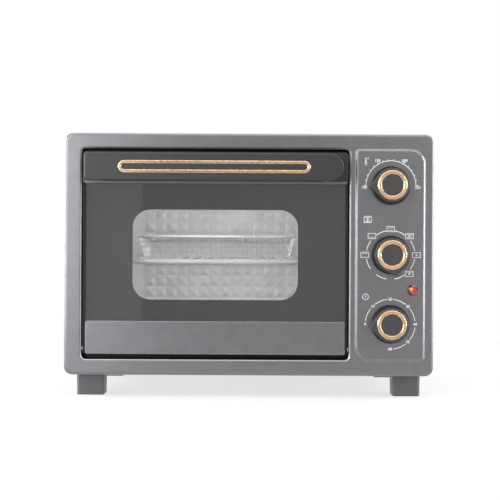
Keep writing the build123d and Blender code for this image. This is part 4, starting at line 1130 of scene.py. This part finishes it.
parts = [hoop(basket_high.z - basket_low.z - basket_rim, basket_rim, 10)]
parts += [hoop(height * mm, basket_wire, 6) for height in (6.5, 12.5, 18.5)]
for span in (0, 1):
    other = 1 - span
    inset = basket_rim + basket_lean + basket_turn / 2
    room = basket_high[other] - basket_low[other] - 2 * inset
    count = round(room / basket_pitch) + 1
    starts = np.linspace(basket_low[other] + inset, basket_high[other] - inset, count)
    parts += [bent_wire(span, start, (1.0 + 1.8 * span) * basket_wire) for start in starts]
piece("fry_basket_mesh", parts, "basket", chrome_wire, smooth=True, replaces=("fry_basket",))

# The crumb tray on the chamber's floor.
# Thin pressed steel in dark vitreous enamel, with a rolled front edge to pull.

tray_enamel = grained(
    "tray_enamel",
    dark=(0.012, 0.012, 0.014),
    light=(0.03, 0.03, 0.033),
    smooth=0.12,
    rough=0.25,
    scale=900.0,
    bump=0.2,
    edge_wear_and_highlight=(0.06, 0.06, 0.062),
)
dress(tray_enamel, "crumb_tray")

# The room: a white floor, soft boxes in front, above and at both sides, and a dark card that the
# door mirrors. None of it belongs to the oven. Two small lamps behind the door's border light the
# chamber. The world and the floor are white to the eye and to mirrors.


def make_world():
    """White to the camera and to mirror and glass rays, and a plain grey light to the rest."""
    world = bpy.data.worlds.new("studio")
    bpy.context.scene.world = world
    world.use_nodes = True
    tree = world.node_tree
    background = tree.nodes["Background"]
    ray = node(tree, "LightPath").outputs
    seen = computed(tree, "MAXIMUM", ray["Is Camera Ray"], ray["Is Glossy Ray"])
    seen = computed(tree, "MAXIMUM", seen, ray["Is Transmission Ray"])
    tree.links.new(ramp(tree, seen, 0.0, 1.0, 0.34, 1.0), background.inputs["Strength"])
    background.inputs["Color"].default_value = (1, 1, 1, 1)


def make_sheet(name, points, faces, material):
    """A flat surface of the room; its glow isn't sampled as a lamp."""
    mesh = bpy.data.meshes.new(name)
    mesh.from_pydata(points, [], faces)
    mesh.materials.append(material)
    material.cycles.emission_sampling = "NONE"
    sheet = bpy.data.objects.new(name, mesh)
    bpy.context.scene.collection.objects.link(sheet)
    return sheet


def make_floor():
    """A white floor that keeps the oven's shadow.

    Its own white is 7 tenths of it up to 0.5 m from the middle and all of it from 1.1 m on, and
    all of it to mirrors; the rest is lit by the lamps.
    """
    material, tree, link, shader = new_material(
        "floor", base_color=(0.9, 0.9, 0.9, 1), roughness=0.9, specular_ior_level=0.1
    )
    glow = node(tree, "Emission", strength=1.0)
    ray = node(tree, "LightPath").outputs
    away = node(tree, "VectorMath", operation="LENGTH")
    link(object_place(tree), away.inputs[0])
    near = ramp(tree, away.outputs["Value"], 0.5, 1.1, 0.7, 1.0)
    seen = computed(tree, "MAXIMUM", ray["Is Camera Ray"], ray["Is Transmission Ray"])
    share = computed(tree, "MAXIMUM", computed(tree, "MULTIPLY", seen, near), ray["Is Glossy Ray"])
    mix = node(tree, "MixShader")
    link(share, mix.inputs[0])
    link(shader.outputs[0], mix.inputs[1])
    link(glow.outputs[0], mix.inputs[2])
    link(mix.outputs[0], tree.nodes["Material Output"].inputs["Surface"])
    half = 8.0
    corners = [(-half, -half, 0), (half, -half, 0), (half, half, 0), (-half, half, 0)]
    floor = make_sheet("floor", corners, [(0, 1, 2, 3)], material)


def make_lamp(name, place, target, width, height, radiance):
    """A soft box seen by mirrors but not by the camera; its power follows from its radiance."""
    lamp = bpy.data.lights.new(name, "AREA")
    lamp.shape = "RECTANGLE"
    lamp.size = width
    lamp.size_y = height
    lamp.energy = radiance * math.pi * width * height
    held = bpy.data.objects.new(name, lamp)
    bpy.context.scene.collection.objects.link(held)
    held.location = place
    away = held.location - Vector(target)
    held.rotation_euler = away.to_track_quat("Z", "Y").to_euler()
    held.visible_camera = False
    return held


def make_card():
    """The dark card that the glass mirrors, paler to the right.

    It lies on the floor, widening from the oven to behind the camera, and there it stands up.
    """
    left, right = -0.345, 0.9
    near, far = -0.5, -2.76
    low, high = 1.5 * mm, 1.4
    near_edge = [(-0.16, near, low), (0.42, near, low)]
    wall = [(right, far, low), (left, far, low), (left, far, high), (right, far, high)]
    material, tree, link, shader = new_material("dark_card")
    tree.nodes.remove(shader)
    glow = node(tree, "Emission", strength=1.0)
    link(ramp(tree, object_axes(tree)["X"], left, right, 0.4, 1.0), glow.inputs["Color"])
    link(glow.outputs[0], tree.nodes["Material Output"].inputs["Surface"])
    card = make_sheet("dark_card", near_edge + wall, [(0, 1, 2, 3), (2, 3, 4, 5)], material)
    card.visible_camera = False
    card.visible_diffuse = False
    card.visible_transmission = False
    card.visible_shadow = False


def make_camera():
    """The photographer's view: level, 1.6 m from the oven's front, leaning by 0.3 degrees."""
    lens = bpy.data.cameras.new("camera")
    front = cad_low.y + 24.6 * mm
    distance = 1.6
    seen_width = 608 * mm
    lens.sensor_width = 36.0
    lens.lens = lens.sensor_width * distance / seen_width
    held = bpy.data.objects.new("camera", lens)
    bpy.context.scene.collection.objects.link(held)
    held.location = (1.2 * mm, front - distance, 179.6 * mm)
    held.rotation_euler = (math.radians(90), math.radians(-0.315), 0)
    bpy.context.scene.camera = held


make_world()
make_floor()
make_lamp("front_left_box", (-0.82, -1.72, 0.35), (-0.1, -0.15, 0.17), 0.6, 1.3, 5.6)
for side, name, width in ((-1, "left", 0.28), (1, "right", 0.22)):
    make_lamp(f"{name}_front_strip", (side * 1.44, -0.56, 0.3), (side * 0.2, -0.15, 0.17), width, 1.5, 16.0)
    make_lamp(f"{name}_back_strip", (side * 1.35, 0.45, 0.3), (side * 0.2, -0.1, 0.17), 0.5, 1.5, 6.0)
make_lamp("top_box", (0.0, -0.2, 1.6), (0, -0.1, 0.15), 3.0, 2.2, 1.2)
low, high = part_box("cavity_liner")
for name, z in (("chamber_upper", high.z - 14 * mm), ("chamber_lower", low.z + 14 * mm)):
    target = ((low.x + high.x) / 2, high.y, (low.z + high.z) / 2)
    glow = make_lamp(name, ((low.x + high.x) / 2, low.y + 26 * mm, z), target, 0.14, 0.03, 46.0)
    glow.visible_glossy = False
    glow.visible_transmission = False
make_card()
make_camera()
bpy.context.scene.view_settings.view_transform = "Standard"
